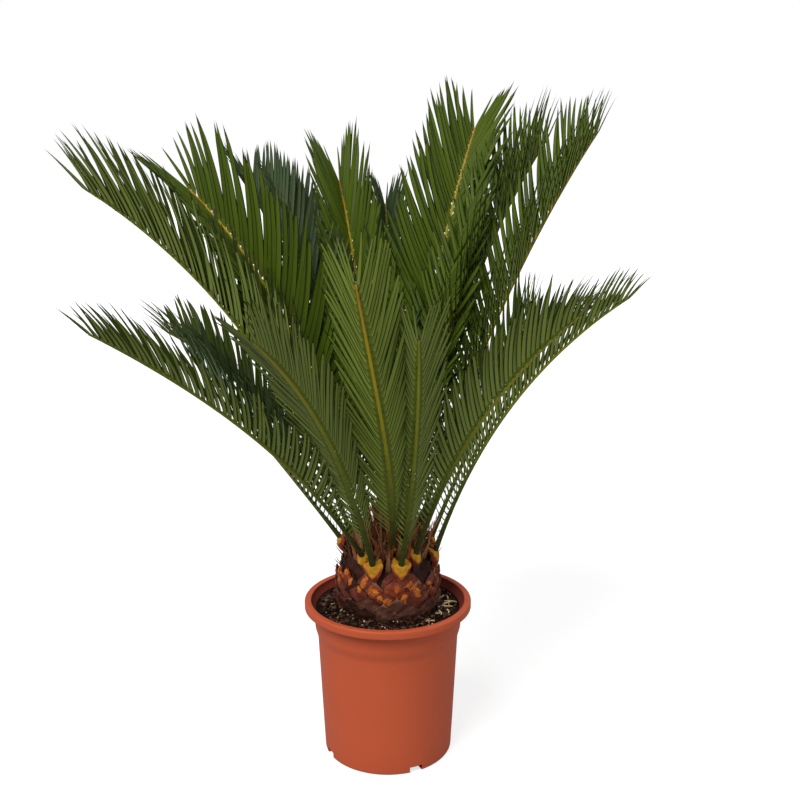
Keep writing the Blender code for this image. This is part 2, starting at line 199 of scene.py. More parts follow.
def ring_section(sides):
    """A round section."""
    angle = np.arange(sides) * FULL_TURN / sides
    return np.stack([np.cos(angle), np.sin(angle)], -1)


def rough(points, size, seed=0.0):
    """Smooth noise from -1 to 1 at each point, with bumps of about that size."""
    return np.array([noise.noise(Vector(point) / size + Vector((seed, seed, seed)))
                     for point in np.asarray(points).reshape(-1, 3)])


def bent_lines(starts, headings, ends, lengths, steps):
    """Centre lines that set off along headings and finish along ends."""
    share = np.linspace(0, 1, steps)[None, :, None]
    lengths = np.broadcast_to(lengths, (len(starts),))[:, None, None]
    first, last = unit(headings)[:, None], unit(ends)[:, None]
    lines = starts[:, None] + lengths * (first * share + (last - first) * share ** 2 / 2)
    return lines, unit(first + (last - first) * share)


def sideways(directions, reference):
    """Two axes square to each direction, the first also square to the reference."""
    across = unit(np.cross(np.broadcast_to(reference, directions.shape), directions))
    return across, np.cross(directions, across)


print("helpers ready")

# %% [markdown]
# ## Finishes shared by many materials
#
# Bark, soil, husk and plastic all need two effects: colour that drifts from one tone to
# another, and a fine grain that roughens the surface. Each effect is a node group, built once
# and placed in every material with its own values. The groups read object coordinates, so no
# unwrapping is needed, and they put out only what varies: a colour, a roughness and a height.

# %% Node groups
def new_node(tree, kind, values=(), **settings):
    """Add a shader node with values on its sockets, by name or number, and its own settings."""
    node = tree.nodes.new("ShaderNode" + kind)
    for name, setting in settings.items():
        setattr(node, name, setting)
    for socket, value in dict(values).items():
        node.inputs[socket].default_value = value
    return node


def join(tree, *pairs):
    for output, socket in pairs:
        tree.links.new(output, socket)


def new_group(name, inputs, outputs):
    """A node group with named sockets; the type of an input follows from its value."""
    group = bpy.data.node_groups.new(name, "ShaderNodeTree")
    kinds = {1: "NodeSocketFloat", 3: "NodeSocketVector", 4: "NodeSocketColor"}
    for label, value in inputs.items():
        made = group.interface.new_socket(label, in_out="INPUT", socket_type=kinds[np.size(value)])
        made.default_value = value
    for label, kind in outputs.items():
        group.interface.new_socket(label, in_out="OUTPUT", socket_type=kind)
    return group, group.nodes.new("NodeGroupInput").outputs, group.nodes.new("NodeGroupOutput").inputs


def placed_noise(group, given, detail):
    """A noise texture in object coordinates, with the group's own Scale and Stretch."""
    place = new_node(group, "TexCoord")
    stretched = new_node(group, "VectorMath", operation="MULTIPLY")
    texture = new_node(group, "TexNoise", {"Detail": detail})
    join(group, (place.outputs["Object"], stretched.inputs[0]), (given["Stretch"], stretched.inputs[1]),
         (stretched.outputs["Vector"], texture.inputs["Vector"]), (given["Scale"], texture.inputs["Scale"]))
    return texture


def make_drift():
    """Colour drift: three tones that wander into one another."""
    group, given, result = new_group(
        "colour drift",
        {"Dark": (0.0, 0.0, 0.0, 1.0), "Middle": (0.2, 0.2, 0.2, 1.0), "Light": (1.0, 1.0, 1.0, 1.0),
         "Scale": 60.0, "Stretch": (1.0, 1.0, 1.0), "Contrast": 2.0},
        {"Color": "NodeSocketColor"})
    texture = placed_noise(group, given, 5.0)
    centred = new_node(group, "Math", {1: 0.5}, operation="SUBTRACT")
    spread = new_node(group, "Math", operation="MULTIPLY")
    low = new_node(group, "MapRange", {"From Min": -1.0, "From Max": 0.0})
    high = new_node(group, "MapRange", {"From Min": 0.0, "From Max": 1.0})
    first = new_node(group, "Mix", data_type="RGBA")
    second = new_node(group, "Mix", data_type="RGBA")
    join(group, (texture.outputs["Fac"], centred.inputs[0]),
         (centred.outputs[0], spread.inputs[0]), (given["Contrast"], spread.inputs[1]),
         (spread.outputs[0], low.inputs["Value"]), (spread.outputs[0], high.inputs["Value"]),
         (low.outputs[0], first.inputs["Factor"]), (given["Dark"], first.inputs[6]),
         (given["Middle"], first.inputs[7]), (high.outputs[0], second.inputs["Factor"]),
         (first.outputs[2], second.inputs[6]), (given["Light"], second.inputs[7]),
         (second.outputs[2], result["Color"]))
    return group


def make_grain():
    """Grain: a fine noise that sets both how rough a spot is and how high it stands."""
    group, given, result = new_group(
        "grain",
        {"Scale": 400.0, "Stretch": (1.0, 1.0, 1.0), "Smooth Roughness": 0.4, "Rough Roughness": 0.6},
        {"Roughness": "NodeSocketFloat", "Height": "NodeSocketFloat"})
    texture = placed_noise(group, given, 6.0)
    spread = new_node(group, "MapRange", {"From Min": 0.3, "From Max": 0.7})
    join(group, (texture.outputs["Fac"], spread.inputs["Value"]),
         (given["Smooth Roughness"], spread.inputs["To Min"]),
         (given["Rough Roughness"], spread.inputs["To Max"]),
         (spread.outputs[0], result["Roughness"]), (texture.outputs["Fac"], result["Height"]))
    return group


DRIFT = make_drift()
GRAIN = make_grain()
EVEN = (1.0, 1.0, 1.0)
RELIEF_DEPTH = 1 * MM


def plain_material(name, colour, roughness, specular=0.5):
    """One base colour and one roughness, set on the shader's own sockets."""
    made = bpy.data.materials.new(name)
    made.use_nodes = True
    shader = made.node_tree.nodes["Principled BSDF"]
    shader.inputs["Base Color"].default_value = (*colour, 1.0)
    shader.inputs["Roughness"].default_value = roughness
    shader.inputs["Specular IOR Level"].default_value = specular
    made.diffuse_color = (*colour, 1.0)
    return made, shader


def placed_group(tree, group, values):
    node = new_node(tree, "Group", node_tree=group)
    for label, value in values.items():
        node.inputs[label].default_value = value
    return node


def add_grain(tree, shader, scale, stretch, roughness, relief):
    """Link a grain's roughness and, where there is relief, its height through a Bump node."""
    grain = placed_group(tree, GRAIN, {"Scale": scale, "Stretch": stretch, "Smooth Roughness": roughness[0],
                                       "Rough Roughness": roughness[1]})
    join(tree, (grain.outputs["Roughness"], shader.inputs["Roughness"]))
    if relief:
        bump = new_node(tree, "Bump", {"Strength": relief, "Distance": RELIEF_DEPTH})
        join(tree, (grain.outputs["Height"], bump.inputs["Height"]),
             (bump.outputs["Normal"], shader.inputs["Normal"]))


def drifting_material(name, tones, scale, stretch=EVEN, contrast=2.0, roughness=(0.6, 0.9),
                      grain_scale=500.0, relief=0.4, specular=0.12):
    """A natural surface: dark, middle and light tones that drift, under a fine grain."""
    made, shader = plain_material(name, tones[1], roughness[1], specular)
    dark, middle, light = [(*tone, 1.0) for tone in tones]
    values = {"Dark": dark, "Middle": middle, "Light": light, "Scale": scale, "Stretch": stretch,
              "Contrast": contrast}
    drift = placed_group(made.node_tree, DRIFT, values)
    join(made.node_tree, (drift.outputs["Color"], shader.inputs["Base Color"]))
    add_grain(made.node_tree, shader, grain_scale, stretch, roughness, relief)
    return made


print("node groups:", [group.name for group in bpy.data.node_groups])

# %% [markdown]
# ## The pot
#
# A nursery pot is vacuum-formed or injection-moulded in thin plastic: a tapering wall, a
# wider collar that lets pots stack without jamming, and a rolled lip to carry them by. It is
# one turned profile. The lip and the foot are rounded with short arcs, because a sharp edge
# catches no highlight. Water leaves through notches at the foot, which a Boolean cuts.

# %% Pot shape
POT_STEPS = 192
POT_SHARP = 35
LIP_ROUND, LIP_INNER_ROUND = 2.5 * MM, 1.5 * MM
FOOT_ROUND = 3.0 * MM
EDGE_ROUND = 1.0 * MM
UNDERCUT, UNDERCUT_OUT = 1.5 * MM, 0.5 * MM
RIDGE_DROP, RIDGE_PROUD, RIDGE_HEIGHT = 16.5 * MM, 0.45 * MM, 1.6 * MM
# Points of the inside that belong to the lip, and have the outside's finish.
LIP_ROWS = 4
DRAIN_COUNT = 4
DRAIN_START = math.radians(-64)
DRAIN_WIDTH, DRAIN_HEIGHT, DRAIN_DEPTH = 19 * MM, 9 * MM, 16 * MM
OVERRUN = 2 * MM


def arc(centre, radius, start, end, steps=5):
    """Points on an arc of a profile, in (radius, height); angles in degrees."""
    angles = np.radians(np.linspace(start, end, steps))
    return [(centre[0] + radius * math.cos(a), centre[1] + radius * math.sin(a)) for a in angles]


def wall_radius(height):
    return blend(FOOT_RADIUS, BODY_RADIUS, min(height / STEP_HEIGHT, 1.0))


def pot_profile():
    """Outside upwards from the foot, over the lip, and down the inside to the floor."""
    lip_low = POT_HEIGHT - LIP_DEPTH
    ridge = POT_HEIGHT - RIDGE_DROP
    outside = [(0.0, 0.0)] + arc((FOOT_RADIUS - FOOT_ROUND, FOOT_ROUND), FOOT_ROUND, -90, 0)
    outside += [(wall_radius(STEP_HEIGHT * share), STEP_HEIGHT * share) for share in (0.25, 0.5, 0.75)]
    for share in np.linspace(0, 1, 8):
        eased = share * share * (3 - 2 * share)
        outside.append((blend(BODY_RADIUS, COLLAR_RADIUS, eased), STEP_HEIGHT + STEP_SLOPE * share))
    outside += [(COLLAR_RADIUS, ridge - RIDGE_HEIGHT),
                (COLLAR_RADIUS + RIDGE_PROUD, ridge - RIDGE_HEIGHT / 2), (COLLAR_RADIUS, ridge),
                (COLLAR_RADIUS, lip_low - UNDERCUT), (COLLAR_RADIUS + UNDERCUT_OUT, lip_low)]
    outside += arc((RIM_RADIUS - EDGE_ROUND, lip_low + EDGE_ROUND), EDGE_ROUND, -90, 0, 4)
    outside += arc((RIM_RADIUS - LIP_ROUND, POT_HEIGHT - LIP_ROUND), LIP_ROUND, 0, 90, 7)
    inside = arc((RIM_RADIUS - LIP_WIDTH + LIP_INNER_ROUND, POT_HEIGHT - LIP_INNER_ROUND), LIP_INNER_ROUND,
                 90, 180)
    inside += [(RIM_RADIUS - LIP_WIDTH - 0.6 * MM, POT_HEIGHT - 4.0 * MM),
               (COLLAR_RADIUS - WALL, lip_low), (COLLAR_RADIUS - WALL, STEP_HEIGHT + STEP_SLOPE),
               (BODY_RADIUS - WALL, STEP_HEIGHT - 1.0 * MM),
               (wall_radius(FLOOR + FOOT_ROUND) - WALL, FLOOR + FOOT_ROUND),
               (wall_radius(FLOOR) - WALL - 1.5 * MM, FLOOR), (0.0, FLOOR)]
    return outside, inside


def turned(heap, profile, steps, finish, displaced=None):
    """Turn a profile that starts and ends on the axis. It runs up the outside."""
    angles = np.arange(steps) * FULL_TURN / steps
    inner = np.array(profile[1:-1])
    points = around(inner[:, 0][:, None], angles[None], inner[:, 1][:, None])
    if displaced is not None:
        points = displaced(points)
    rows = len(inner)
    number = np.arange(rows * steps).reshape(rows, steps)
    after = np.roll(number, -1, 1)
    quads = np.stack([number[:-1], after[:-1], after[1:], number[1:]], -1)
    ends = rows * steps + np.arange(2)
    foot = np.stack([after[0], number[0], np.full(steps, ends[0])], -1)
    head = np.stack([number[-1], after[-1], np.full(steps, ends[1])], -1)
    caps = np.array([(0, 0, profile[0][1]), (0, 0, profile[-1][1])])
    by_row = np.broadcast_to(finish, (rows + 1,))
    heap.add(np.concatenate([points.reshape(-1, 3), caps]),
             foot.tolist() + quads.reshape(-1, 4).tolist() + head.tolist(), np.repeat(by_row, steps).tolist())


outside, inside = pot_profile()
shell = Heap()
# The wall's inner face starts below the lip; it is darker, because little light reaches it.
in_row = [0] * (len(outside) + LIP_ROWS) + [1] * (len(inside) - LIP_ROWS - 1)
turned(shell, outside + inside, POT_STEPS, in_row)
print("pot profile points:", len(outside) + len(inside))

# %% [markdown]
# The plastic is an even terracotta colour. Up close a moulded wall is never quite even: it
# has a faint cloudiness and a satin grain. The inner face is a deeper red, where the wall
# shades itself.

# %% Pot finish
pot_outer = drifting_material("terracotta plastic",
                              ((0.425, 0.072, 0.026), (0.448, 0.078, 0.028), (0.470, 0.084, 0.031)), 14.0,
                              contrast=1.6, roughness=(0.48, 0.60), grain_scale=900.0, relief=0.05,
                              specular=0.22)
pot_inner = drifting_material("terracotta plastic inside",
                              ((0.120, 0.016, 0.009), (0.190, 0.028, 0.015), (0.260, 0.042, 0.022)), 30.0,
                              contrast=1.6, roughness=(0.5, 0.65), grain_scale=700.0, relief=0.1,
                              specular=0.2)
pot = shell.make("nursery_pot", [pot_outer, pot_inner], POT_SHARP)


def cut_drains(obj):
    """Cut the notches at the foot, then swap the object's modifiers for the mesh they make."""
    cutters = bpy.data.collections.new("drain cutters")
    bpy.context.scene.collection.children.link(cutters)
    for index in range(DRAIN_COUNT):
        angle = DRAIN_START + index * FULL_TURN / DRAIN_COUNT
        place = around(FOOT_RADIUS + OVERRUN - DRAIN_DEPTH / 2, angle, (DRAIN_HEIGHT - OVERRUN) / 2)
        bpy.ops.mesh.primitive_cube_add(size=1.0, location=place.tolist(), rotation=(0, 0, angle))
        cutter = bpy.context.object
        cutter.scale = (DRAIN_DEPTH, DRAIN_WIDTH, DRAIN_HEIGHT + OVERRUN)
        for holder in list(cutter.users_collection):
            holder.objects.unlink(cutter)
        cutters.objects.link(cutter)
    cut = obj.modifiers.new("Drains", "BOOLEAN")
    cut.operation = "DIFFERENCE"
    cut.operand_type = "COLLECTION"
    cut.collection = cutters
    bpy.context.view_layer.update()
    mesh = bpy.data.meshes.new_from_object(obj.evaluated_get(bpy.context.view_layer.depsgraph))
    obj.modifiers.clear()
    obj.data = mesh
    for cutter in list(cutters.objects):
        bpy.data.objects.remove(cutter, do_unlink=True)
    bpy.data.collections.remove(cutters)
    mesh.shade_smooth()
    mesh.set_sharp_from_angle(angle=math.radians(POT_SHARP))


cut_drains(pot)
dress(pot, "pot_plastic", "pot")
print("pot faces:", len(pot.data.polygons))

# %% [markdown]
# ## The soil
#
# Potting soil is mostly dark peat, with crumbs, bits of bark, white grains of perlite and
# the odd pale root. One turned body fills the pot, and its top is pushed up and down by
# noise. The crumbs, chips, grains and roots are small meshes strewn over it with seeded
# random numbers, and joined into one piece.

# %% Soil shape
SOIL_STEPS = 150
SOIL_RINGS = 46
SOIL_CLEAR = 0.3 * MM
SOIL_WALL = COLLAR_RADIUS - WALL
MOUND, MOUND_REACH = 4.5 * MM, 9 * MM
# Size, seed and height of the soil's lumps and of its crumbs.
LUMPS = (11 * MM, 3.1, 1.6 * MM)
CRUMBS = (3.4 * MM, 7.7, 1.3 * MM)
STREW_FROM = 0.064


def soil_height(radius):
    """Heaped against the trunk's foot, and falling from there to the wall."""
    share = np.clip((radius - TRUNK_GIRTH) / (SOIL_WALL - TRUNK_GIRTH), 0, 1)
    mound = MOUND * np.exp(-((radius - BASE_GIRTH) / MOUND_REACH) ** 2)
    return SOIL_TOP - (SOIL_TOP - SOIL_EDGE) * share + mound


def heaved(points, noise_of):
    """How far noise lifts each point; noise_of is its size, seed and height."""
    size, seed, height = noise_of
    return rough(points, size, seed) * height


def crumbled(points):
    """Push the top surface up and down; the buried sides stay as they are."""
    flat = points.reshape(-1, 3).copy()
    radius = np.hypot(flat[:, 0], flat[:, 1])
    top = flat[:, 2] > SOIL_EDGE - 1 * MM
    inner = np.clip((SOIL_WALL - radius[top]) / (4 * MM), 0, 1)
    flat[top, 2] += (heaved(flat[top], LUMPS) + heaved(flat[top], CRUMBS)) * inner
    return flat.reshape(points.shape)


soil_heap = Heap()
edge = SOIL_WALL - SOIL_CLEAR
sides_up = [(0.0, SOIL_FOOT), (wall_radius(0.0) - WALL - 20 * MM, SOIL_FOOT),
            (wall_radius(20 * MM) - WALL - SOIL_CLEAR, SOIL_FOOT + 20 * MM),
            (BODY_RADIUS - WALL - SOIL_CLEAR, STEP_HEIGHT - 1 * MM),
            (edge, STEP_HEIGHT + STEP_SLOPE)]
top_in = [(radius, float(soil_height(radius))) for radius in np.linspace(edge, 2 * MM, SOIL_RINGS)]
turned(soil_heap, sides_up + top_in + [(0.0, SOIL_TOP)], SOIL_STEPS, 0, crumbled)


def crumb_shape():
    """A small ball of 12 points and 20 faces, to be squashed and dented."""
    golden = (1 + math.sqrt(5)) / 2
    corners = [(a, b * golden, 0) for a in (-1, 1) for b in (-1, 1)]
    corners += [(0, a, b * golden) for a in (-1, 1) for b in (-1, 1)]
    corners += [(a * golden, 0, b) for b in (-1, 1) for a in (-1, 1)]
    points = unit(np.array(corners, float))
    faces = []
    edge_length = min(np.linalg.norm(points[0] - points[k]) for k in range(1, 12)) * 1.1
    for i in range(12):
        for j in range(i + 1, 12):
            for k in range(j + 1, 12):
                trio = points[[i, j, k]]
                if all(np.linalg.norm(trio[a] - trio[b]) < edge_length for a, b in ((0, 1), (1, 2), (0, 2))):
                    facing = np.dot(np.cross(trio[1] - trio[0], trio[2] - trio[0]), trio.mean(0)) > 0
                    faces.append([i, j, k] if facing else [i, k, j])
    return points, faces


CRUMB_POINTS, CRUMB_FACES = crumb_shape()


def strew(heap, rng, count, sizes, flatness, finishes, sink=0.35, outer=SOIL_WALL - 3 * MM):
    """Strew dented crumbs over the soil between the trunk and the wall; sizes are in mm."""
    for _ in range(count):
        size = rng.uniform(*sizes) * MM
        radius = math.sqrt(rng.uniform(STREW_FROM ** 2, (outer - size) ** 2))
        angle = rng.uniform(0, FULL_TURN)
        stretch = np.array([1.0, rng.uniform(0.6, 1.0), flatness]) * size
        shape = CRUMB_POINTS * rng.uniform(0.75, 1.2, (12, 1)) * stretch
        turn, tilt = rng.uniform(0, FULL_TURN), rng.uniform(-0.5, 0.5)
        spin = np.array(Matrix.Rotation(turn, 3, "Z")) @ np.array(Matrix.Rotation(tilt, 3, "X"))
        place = around(radius, angle, soil_height(radius))
        place[2] += heaved([place], LUMPS)[0] + size * flatness * (0.9 - sink)
        heap.add(shape @ spin.T + place, CRUMB_FACES, int(rng.choice(finishes)))


# The finishes of the litter, in the order of its materials.
BLACK_CRUMB, PEAT, BROWN_CRUMB, BARK_CHIP, PERLITE, STRAW, ROOT = range(7)
rng = np.random.default_rng(11)
litter = Heap()
strew(litter, rng, 900, (1.0, 3.4), 0.75, (BLACK_CRUMB, BLACK_CRUMB, PEAT, BROWN_CRUMB, BROWN_CRUMB))
strew(litter, rng, 140, (1.5, 4.0), 0.8, (BLACK_CRUMB, BLACK_CRUMB, PEAT, BROWN_CRUMB, BARK_CHIP),
      outer=0.078)
strew(litter, rng, 110, (2.5, 5.5), 0.32, (BROWN_CRUMB, BARK_CHIP))
strew(litter, rng, 44, (0.7, 1.5), 0.85, (PERLITE,), sink=0.1)
strew(litter, rng, 70, (0.8, 2.4), 0.5, (STRAW,), sink=0.1)
print("soil crumbs:", len(litter.faces) // len(CRUMB_FACES))

# %% [markdown]
# Roots are the palest thing on the soil. Each is a thin rod that wanders: its centre line is
# bent twice, and it lies half in the peat. A few lie to the right of the trunk in a tangle.

# %% Roots
ROOT_STEPS = 12
ROOT_WANDER = 0.8 * MM


def add_roots(heap, rng, count, angles, radii, lengths, thickness, finish):
    starts = around(rng.uniform(*radii, count), rng.uniform(*angles, count), SOIL_TOP + 1.0 * MM)
    heading = rng.uniform(0, FULL_TURN, count)
    turning = heading + rng.uniform(-2.2, 2.2, count)
    first = np.stack([np.cos(heading), np.sin(heading), rng.uniform(-0.1, 0.25, count)], -1)
    last = np.stack([np.cos(turning), np.sin(turning), rng.uniform(-0.45, 0.0, count)], -1)
    lines, directions = bent_lines(starts, first, last, rng.uniform(*lengths, count), ROOT_STEPS)
    lines[..., :2] += ROOT_WANDER * np.stack([rough(lines, 5 * MM, seed).reshape(lines.shape[:2])
                                              for seed in (1.0, 9.0)], -1)
    radius = np.hypot(lines[..., 0], lines[..., 1])
    inward = np.minimum(1.0, (SOIL_WALL - 4 * MM) / radius)
    lines[..., :2] *= inward[..., None]
    lines[..., 2] = np.maximum(lines[..., 2], soil_height(np.minimum(radius, 0.1)) - 0.4 * MM)
    across, over = sideways(directions, (0.0, 0.0, 1.0))
    thick = (rng.uniform(*thickness, count)[:, None] * np.linspace(1, 0.45, ROOT_STEPS)[None])[..., None]
    heap.add_rods(lines, across * thick, over * thick, ring_section(6), finish)


add_roots(litter, rng, 9, (-0.55, 0.15), (0.074, 0.088), (0.014, 0.026), (0.8 * MM, 1.5 * MM), ROOT)
add_roots(litter, rng, 16, (-3.0, 3.1), (0.070, 0.092), (0.008, 0.022), (0.5 * MM, 1.1 * MM), ROOT)
add_roots(litter, rng, 16, (-3.1, 3.1), (0.068, 0.094), (0.010, 0.026), (0.25 * MM, 0.5 * MM), BARK_CHIP)

peat = drifting_material("damp peat", ((0.003, 0.0015, 0.001), (0.013, 0.006, 0.004), (0.045, 0.022, 0.013)),
                         160.0, contrast=3.0, roughness=(0.7, 0.95), grain_scale=900.0, relief=0.9,
                         specular=0.04)
litter_finishes = [
    drifting_material("dark crumb", ((0.002, 0.001, 0.001), (0.010, 0.005, 0.003), (0.030, 0.015, 0.009)),
                      250.0, roughness=(0.7, 0.95), relief=0.6, specular=0.04),
    peat,
    drifting_material("brown crumb", ((0.022, 0.009, 0.006), (0.050, 0.022, 0.013), (0.105, 0.052, 0.032)),
                      250.0, roughness=(0.6, 0.95), relief=0.6),
    drifting_material("bark chip", ((0.040, 0.018, 0.010), (0.090, 0.044, 0.024), (0.150, 0.085, 0.050)),
                      200.0, (1.0, 1.0, 4.0), relief=0.5),
    plain_material("perlite", (0.62, 0.60, 0.55), 0.75)[0],
    plain_material("straw bit", (0.24, 0.145, 0.065), 0.7)[0],
    plain_material("pale root", (0.56, 0.40, 0.21), 0.6)[0],
]
soil = dress(soil_heap.make("potting_soil", [peat], 60), "potting_soil", "soil")
crumbs = dress(litter.make("soil_crumbs_and_roots", litter_finishes), "potting_soil")
print("soil faces:", len(soil.data.polygons), "crumb and root faces:", len(crumbs.data.polygons))

# %% [markdown]
# ## How a frond grows
#
# A frond is a stiff rib, the rachis, with two ranks of narrow leaflets folded up into a V. The
# same rule that shaped the plain solids grows the fine ones: a rib sets off steeply from its
# leaf base and arches over late, and its leaflets lean more and more towards the tip. Only
# the number and fineness of the leaflets change.
#
# Each row holds one frond: the tier of its leaf base, its compass direction, how steeply it
# rises at the base and at the tip, its length, its sideways bend, its roll, its longest leaflet,
# how far its two ranks fold up, and its leaf tone.

# %% The rule of growth
TIERS = {"low": (0.0635, 0.2895), "outer": (0.0590, 0.3010), "middle": (0.0465, 0.3080),
         "inner": (0.0350, 0.3150)}
Frond = namedtuple("Frond", "tier azimuth rise droop length bend roll leaflet fold tone")
FRONDS = [Frond(*row) for row in (
    ("middle", 177, 71, 31, 0.615, -4, -6, 0.147, 56, "mature"),
    ("middle", 155, 78, 38, 0.566, -3, 35, 0.162, 42, "fresh"),
    ("middle", 124, 70, 31, 0.620, 0, 0, 0.145, 50, "shaded"),
    ("outer", 117, 72, 29, 0.605, 0, 0, 0.125, 58, "shaded"),
    ("inner", 102, 67, 34, 0.620, 0, 12, 0.165, 58, "fresh"),
    ("middle", 88, 73, 30, 0.575, 6, 0, 0.115, 58, "shaded"),
    ("inner", 67, 72, 40, 0.680, 4, -8, 0.160, 38, "fresh"),
    ("middle", 49, 74, 41, 0.650, 0, 24, 0.145, 56, "fresh"),
    ("middle", 32, 69, 47, 0.660, 6, 13, 0.132, 54, "fresh"),
    ("low", 72, 60, 12, 0.500, 0, 0, 0.120, 50, "mature"),
    ("outer", 92, 56, 8, 0.480, 0, 0, 0.115, 50, "shaded"),
    ("low", 144, 54, 14, 0.475, 0, 0, 0.115, 50, "mature"),
    ("outer", 44, 58, 10, 0.470, 0, 0, 0.115, 50, "mature"),
    ("outer", 14, 67, 65, 0.370, 0, 0, 0.095, 50, "mature"),
    ("low", 350, 72, 35, 0.458, -10, 13, 0.084, 54, "mature"),
    ("outer", 308, 66, 39, 0.445, 12, 0, 0.096, 54, "mature"),
    ("low", 286, 64, 61, 0.386, -18, -2, 0.103, 48, "mature"),
    ("middle", 276, 50, 70, 0.460, -32, -15, 0.115, 46, "fresh"),
    ("low", 254, 59, 30, 0.510, -3, -30, 0.098, 54, "mature"),
    ("outer", 240, 51, 31, 0.525, -30, 14, 0.084, 54, "mature"),
    ("outer", 171, 52, 48, 0.347, 0, 0, 0.098, 54, "shaded"),
)]
RISE_POWER = 1.3
RIB_SHARES = (0.0, 0.06, 0.18, 0.45, 0.80, 1.0)
RIB_RADII = (4.6 * MM, 3.8 * MM, 3.1 * MM, 2.5 * MM, 2.0 * MM, 1.2 * MM)
FIRST_LEAFLET = 0.12
SHORTEST, GROWN_OVER = 0.16, 0.29
FADE_FROM, FADE = 0.87, 0.50
ANGLE_BASE, ANGLE_TIP, ANGLE_POWER = math.radians(48), math.radians(33), 1.2
FOLD_MORE = math.radians(6)
LEAFLET_CURL = math.radians(13)
# The lower leaflets spread wider and fold less, up to this share of the rib.
SPREAD_UNTIL, SPREAD_LOW, FLAT_LOW = 0.50, math.radians(24), math.radians(10)


def rib_frames(frond, shares):
    """Points, directions, sides, upper faces and radii of a rib at shares of its length."""
    ring, height = TIERS[frond.tier]
    fine = np.linspace(-0.1, 1.05, 231)

    def heading(share):
        lift = np.radians(blend(frond.rise, frond.droop, np.clip(share, 0, None) ** RISE_POWER))
        turn = np.radians(frond.azimuth + frond.bend * share)
        return around(np.cos(lift), turn, np.sin(lift)), turn

    steps = heading((fine[1:] + fine[:-1]) / 2)[0] * frond.length * (fine[1] - fine[0])
    walked = np.concatenate([np.zeros((1, 3)), np.cumsum(steps, 0)])
    path = np.stack([np.interp(shares, fine, walked[:, axis]) - np.interp(0.0, fine, walked[:, axis])
                     for axis in range(3)], -1) + around(ring, math.radians(frond.azimuth), height)
    along, turn = heading(np.asarray(shares, float))
    level = np.stack([np.sin(turn), -np.cos(turn), np.zeros_like(turn)], -1)
    raised = np.cross(level, along)
    roll = math.radians(frond.roll)
    side = level * math.cos(roll) + raised * math.sin(roll)
    return path, along, side, np.cross(side, along), np.interp(shares, RIB_SHARES, RIB_RADII)


def leaflet_reach(frond, share):
    """Short spines near the stalk, full length over the middle, shorter again at the tip."""
    grow = np.minimum(1.0, SHORTEST + np.clip(share - FIRST_LEAFLET, 0, None) / GROWN_OVER)
    return frond.leaflet * grow * (1.0 - FADE * np.clip((share - FADE_FROM) / (1 - FADE_FROM), 0, 1))


print("fronds:", len(FRONDS), "rib length in all:", round(sum(f.length for f in FRONDS), 2), "m")

# %% [markdown]
# ## Leaf and rib colours
#
# A leaflet is glossy green above and paler, greyer below, because its breathing pores are
# there. Its root is pale. Its rolled edges are painted dark: painted shade of the rolled-under
# margin, which parts each leaflet from the next. Young fronds are a fresh olive green; shaded
# fronds take a darker, bluish copy of the green, which is painted shade. These colours have a
# place, so they are plain base colours dealt out leaflet by leaflet and face by face, with no
# image. A grain drives only the wax's roughness.
#
# A rib runs from brown-green at the stalk through dark green and yellow-green to its tip,
# which is gold on a young frond. Its flanks, where the leaflets stand, are a warmer tone: a
# painted shade of the rib's shadow side.

# %% Leaf materials
# The shaded tone is a darker, bluish copy of the leaf colours for fronds that stand in shade: painted shade.
LEAF_TONES = {
    "fresh": {"upper": ((0.054, 0.085, 0.004), (0.064, 0.097, 0.005), (0.045, 0.072, 0.004)),
              "under": (0.142, 0.188, 0.028)},
    "mature": {"upper": ((0.039, 0.061, 0.004), (0.048, 0.072, 0.006), (0.031, 0.051, 0.004)),
               "under": (0.140, 0.180, 0.036)},
    "shaded": {"upper": ((0.030, 0.052, 0.018), (0.037, 0.061, 0.023), (0.024, 0.043, 0.014)),
               "under": (0.104, 0.154, 0.074)},
}
LEAF_ROOT = (0.080, 0.104, 0.011)
LEAF_POINT = (0.070, 0.078, 0.016)
# Dark rolled margins: painted shade that parts each leaflet from the next.
LEAF_MARGIN_SHADE = (0.017, 0.028, 0.003)
RIB_SHARES_TONED = (0.00, 0.05, 0.16, 0.38, 0.62, 0.84, 1.00)
RIB_KEYS = {
    "fresh": ((0.034, 0.026, 0.009), (0.030, 0.036, 0.008), (0.042, 0.060, 0.007), (0.120, 0.140, 0.009),
              (0.240, 0.230, 0.010), (0.320, 0.240, 0.010), (0.360, 0.170, 0.014)),
    "mature": ((0.034, 0.026, 0.009), (0.030, 0.036, 0.008), (0.042, 0.060, 0.007), (0.095, 0.120, 0.010),
               (0.165, 0.185, 0.014), (0.200, 0.205, 0.016), (0.180, 0.170, 0.020)),
}
RIB_TONE_COUNT = 14
# The flanks' warmer tones are painted shade of the rib's shadow side.
RIB_SHADED_FLANKS = {"fresh": (0.250, 0.165, 0.010), "mature": (0.150, 0.150, 0.014)}
WAX_GRAIN = 220.0


def waxy(name, colour, roughness=(0.42, 0.56), specular=0.09):
    made, shader = plain_material(name, colour, roughness[0], specular)
    add_grain(made.node_tree, shader, WAX_GRAIN, EVEN, roughness, 0.0)
    return made


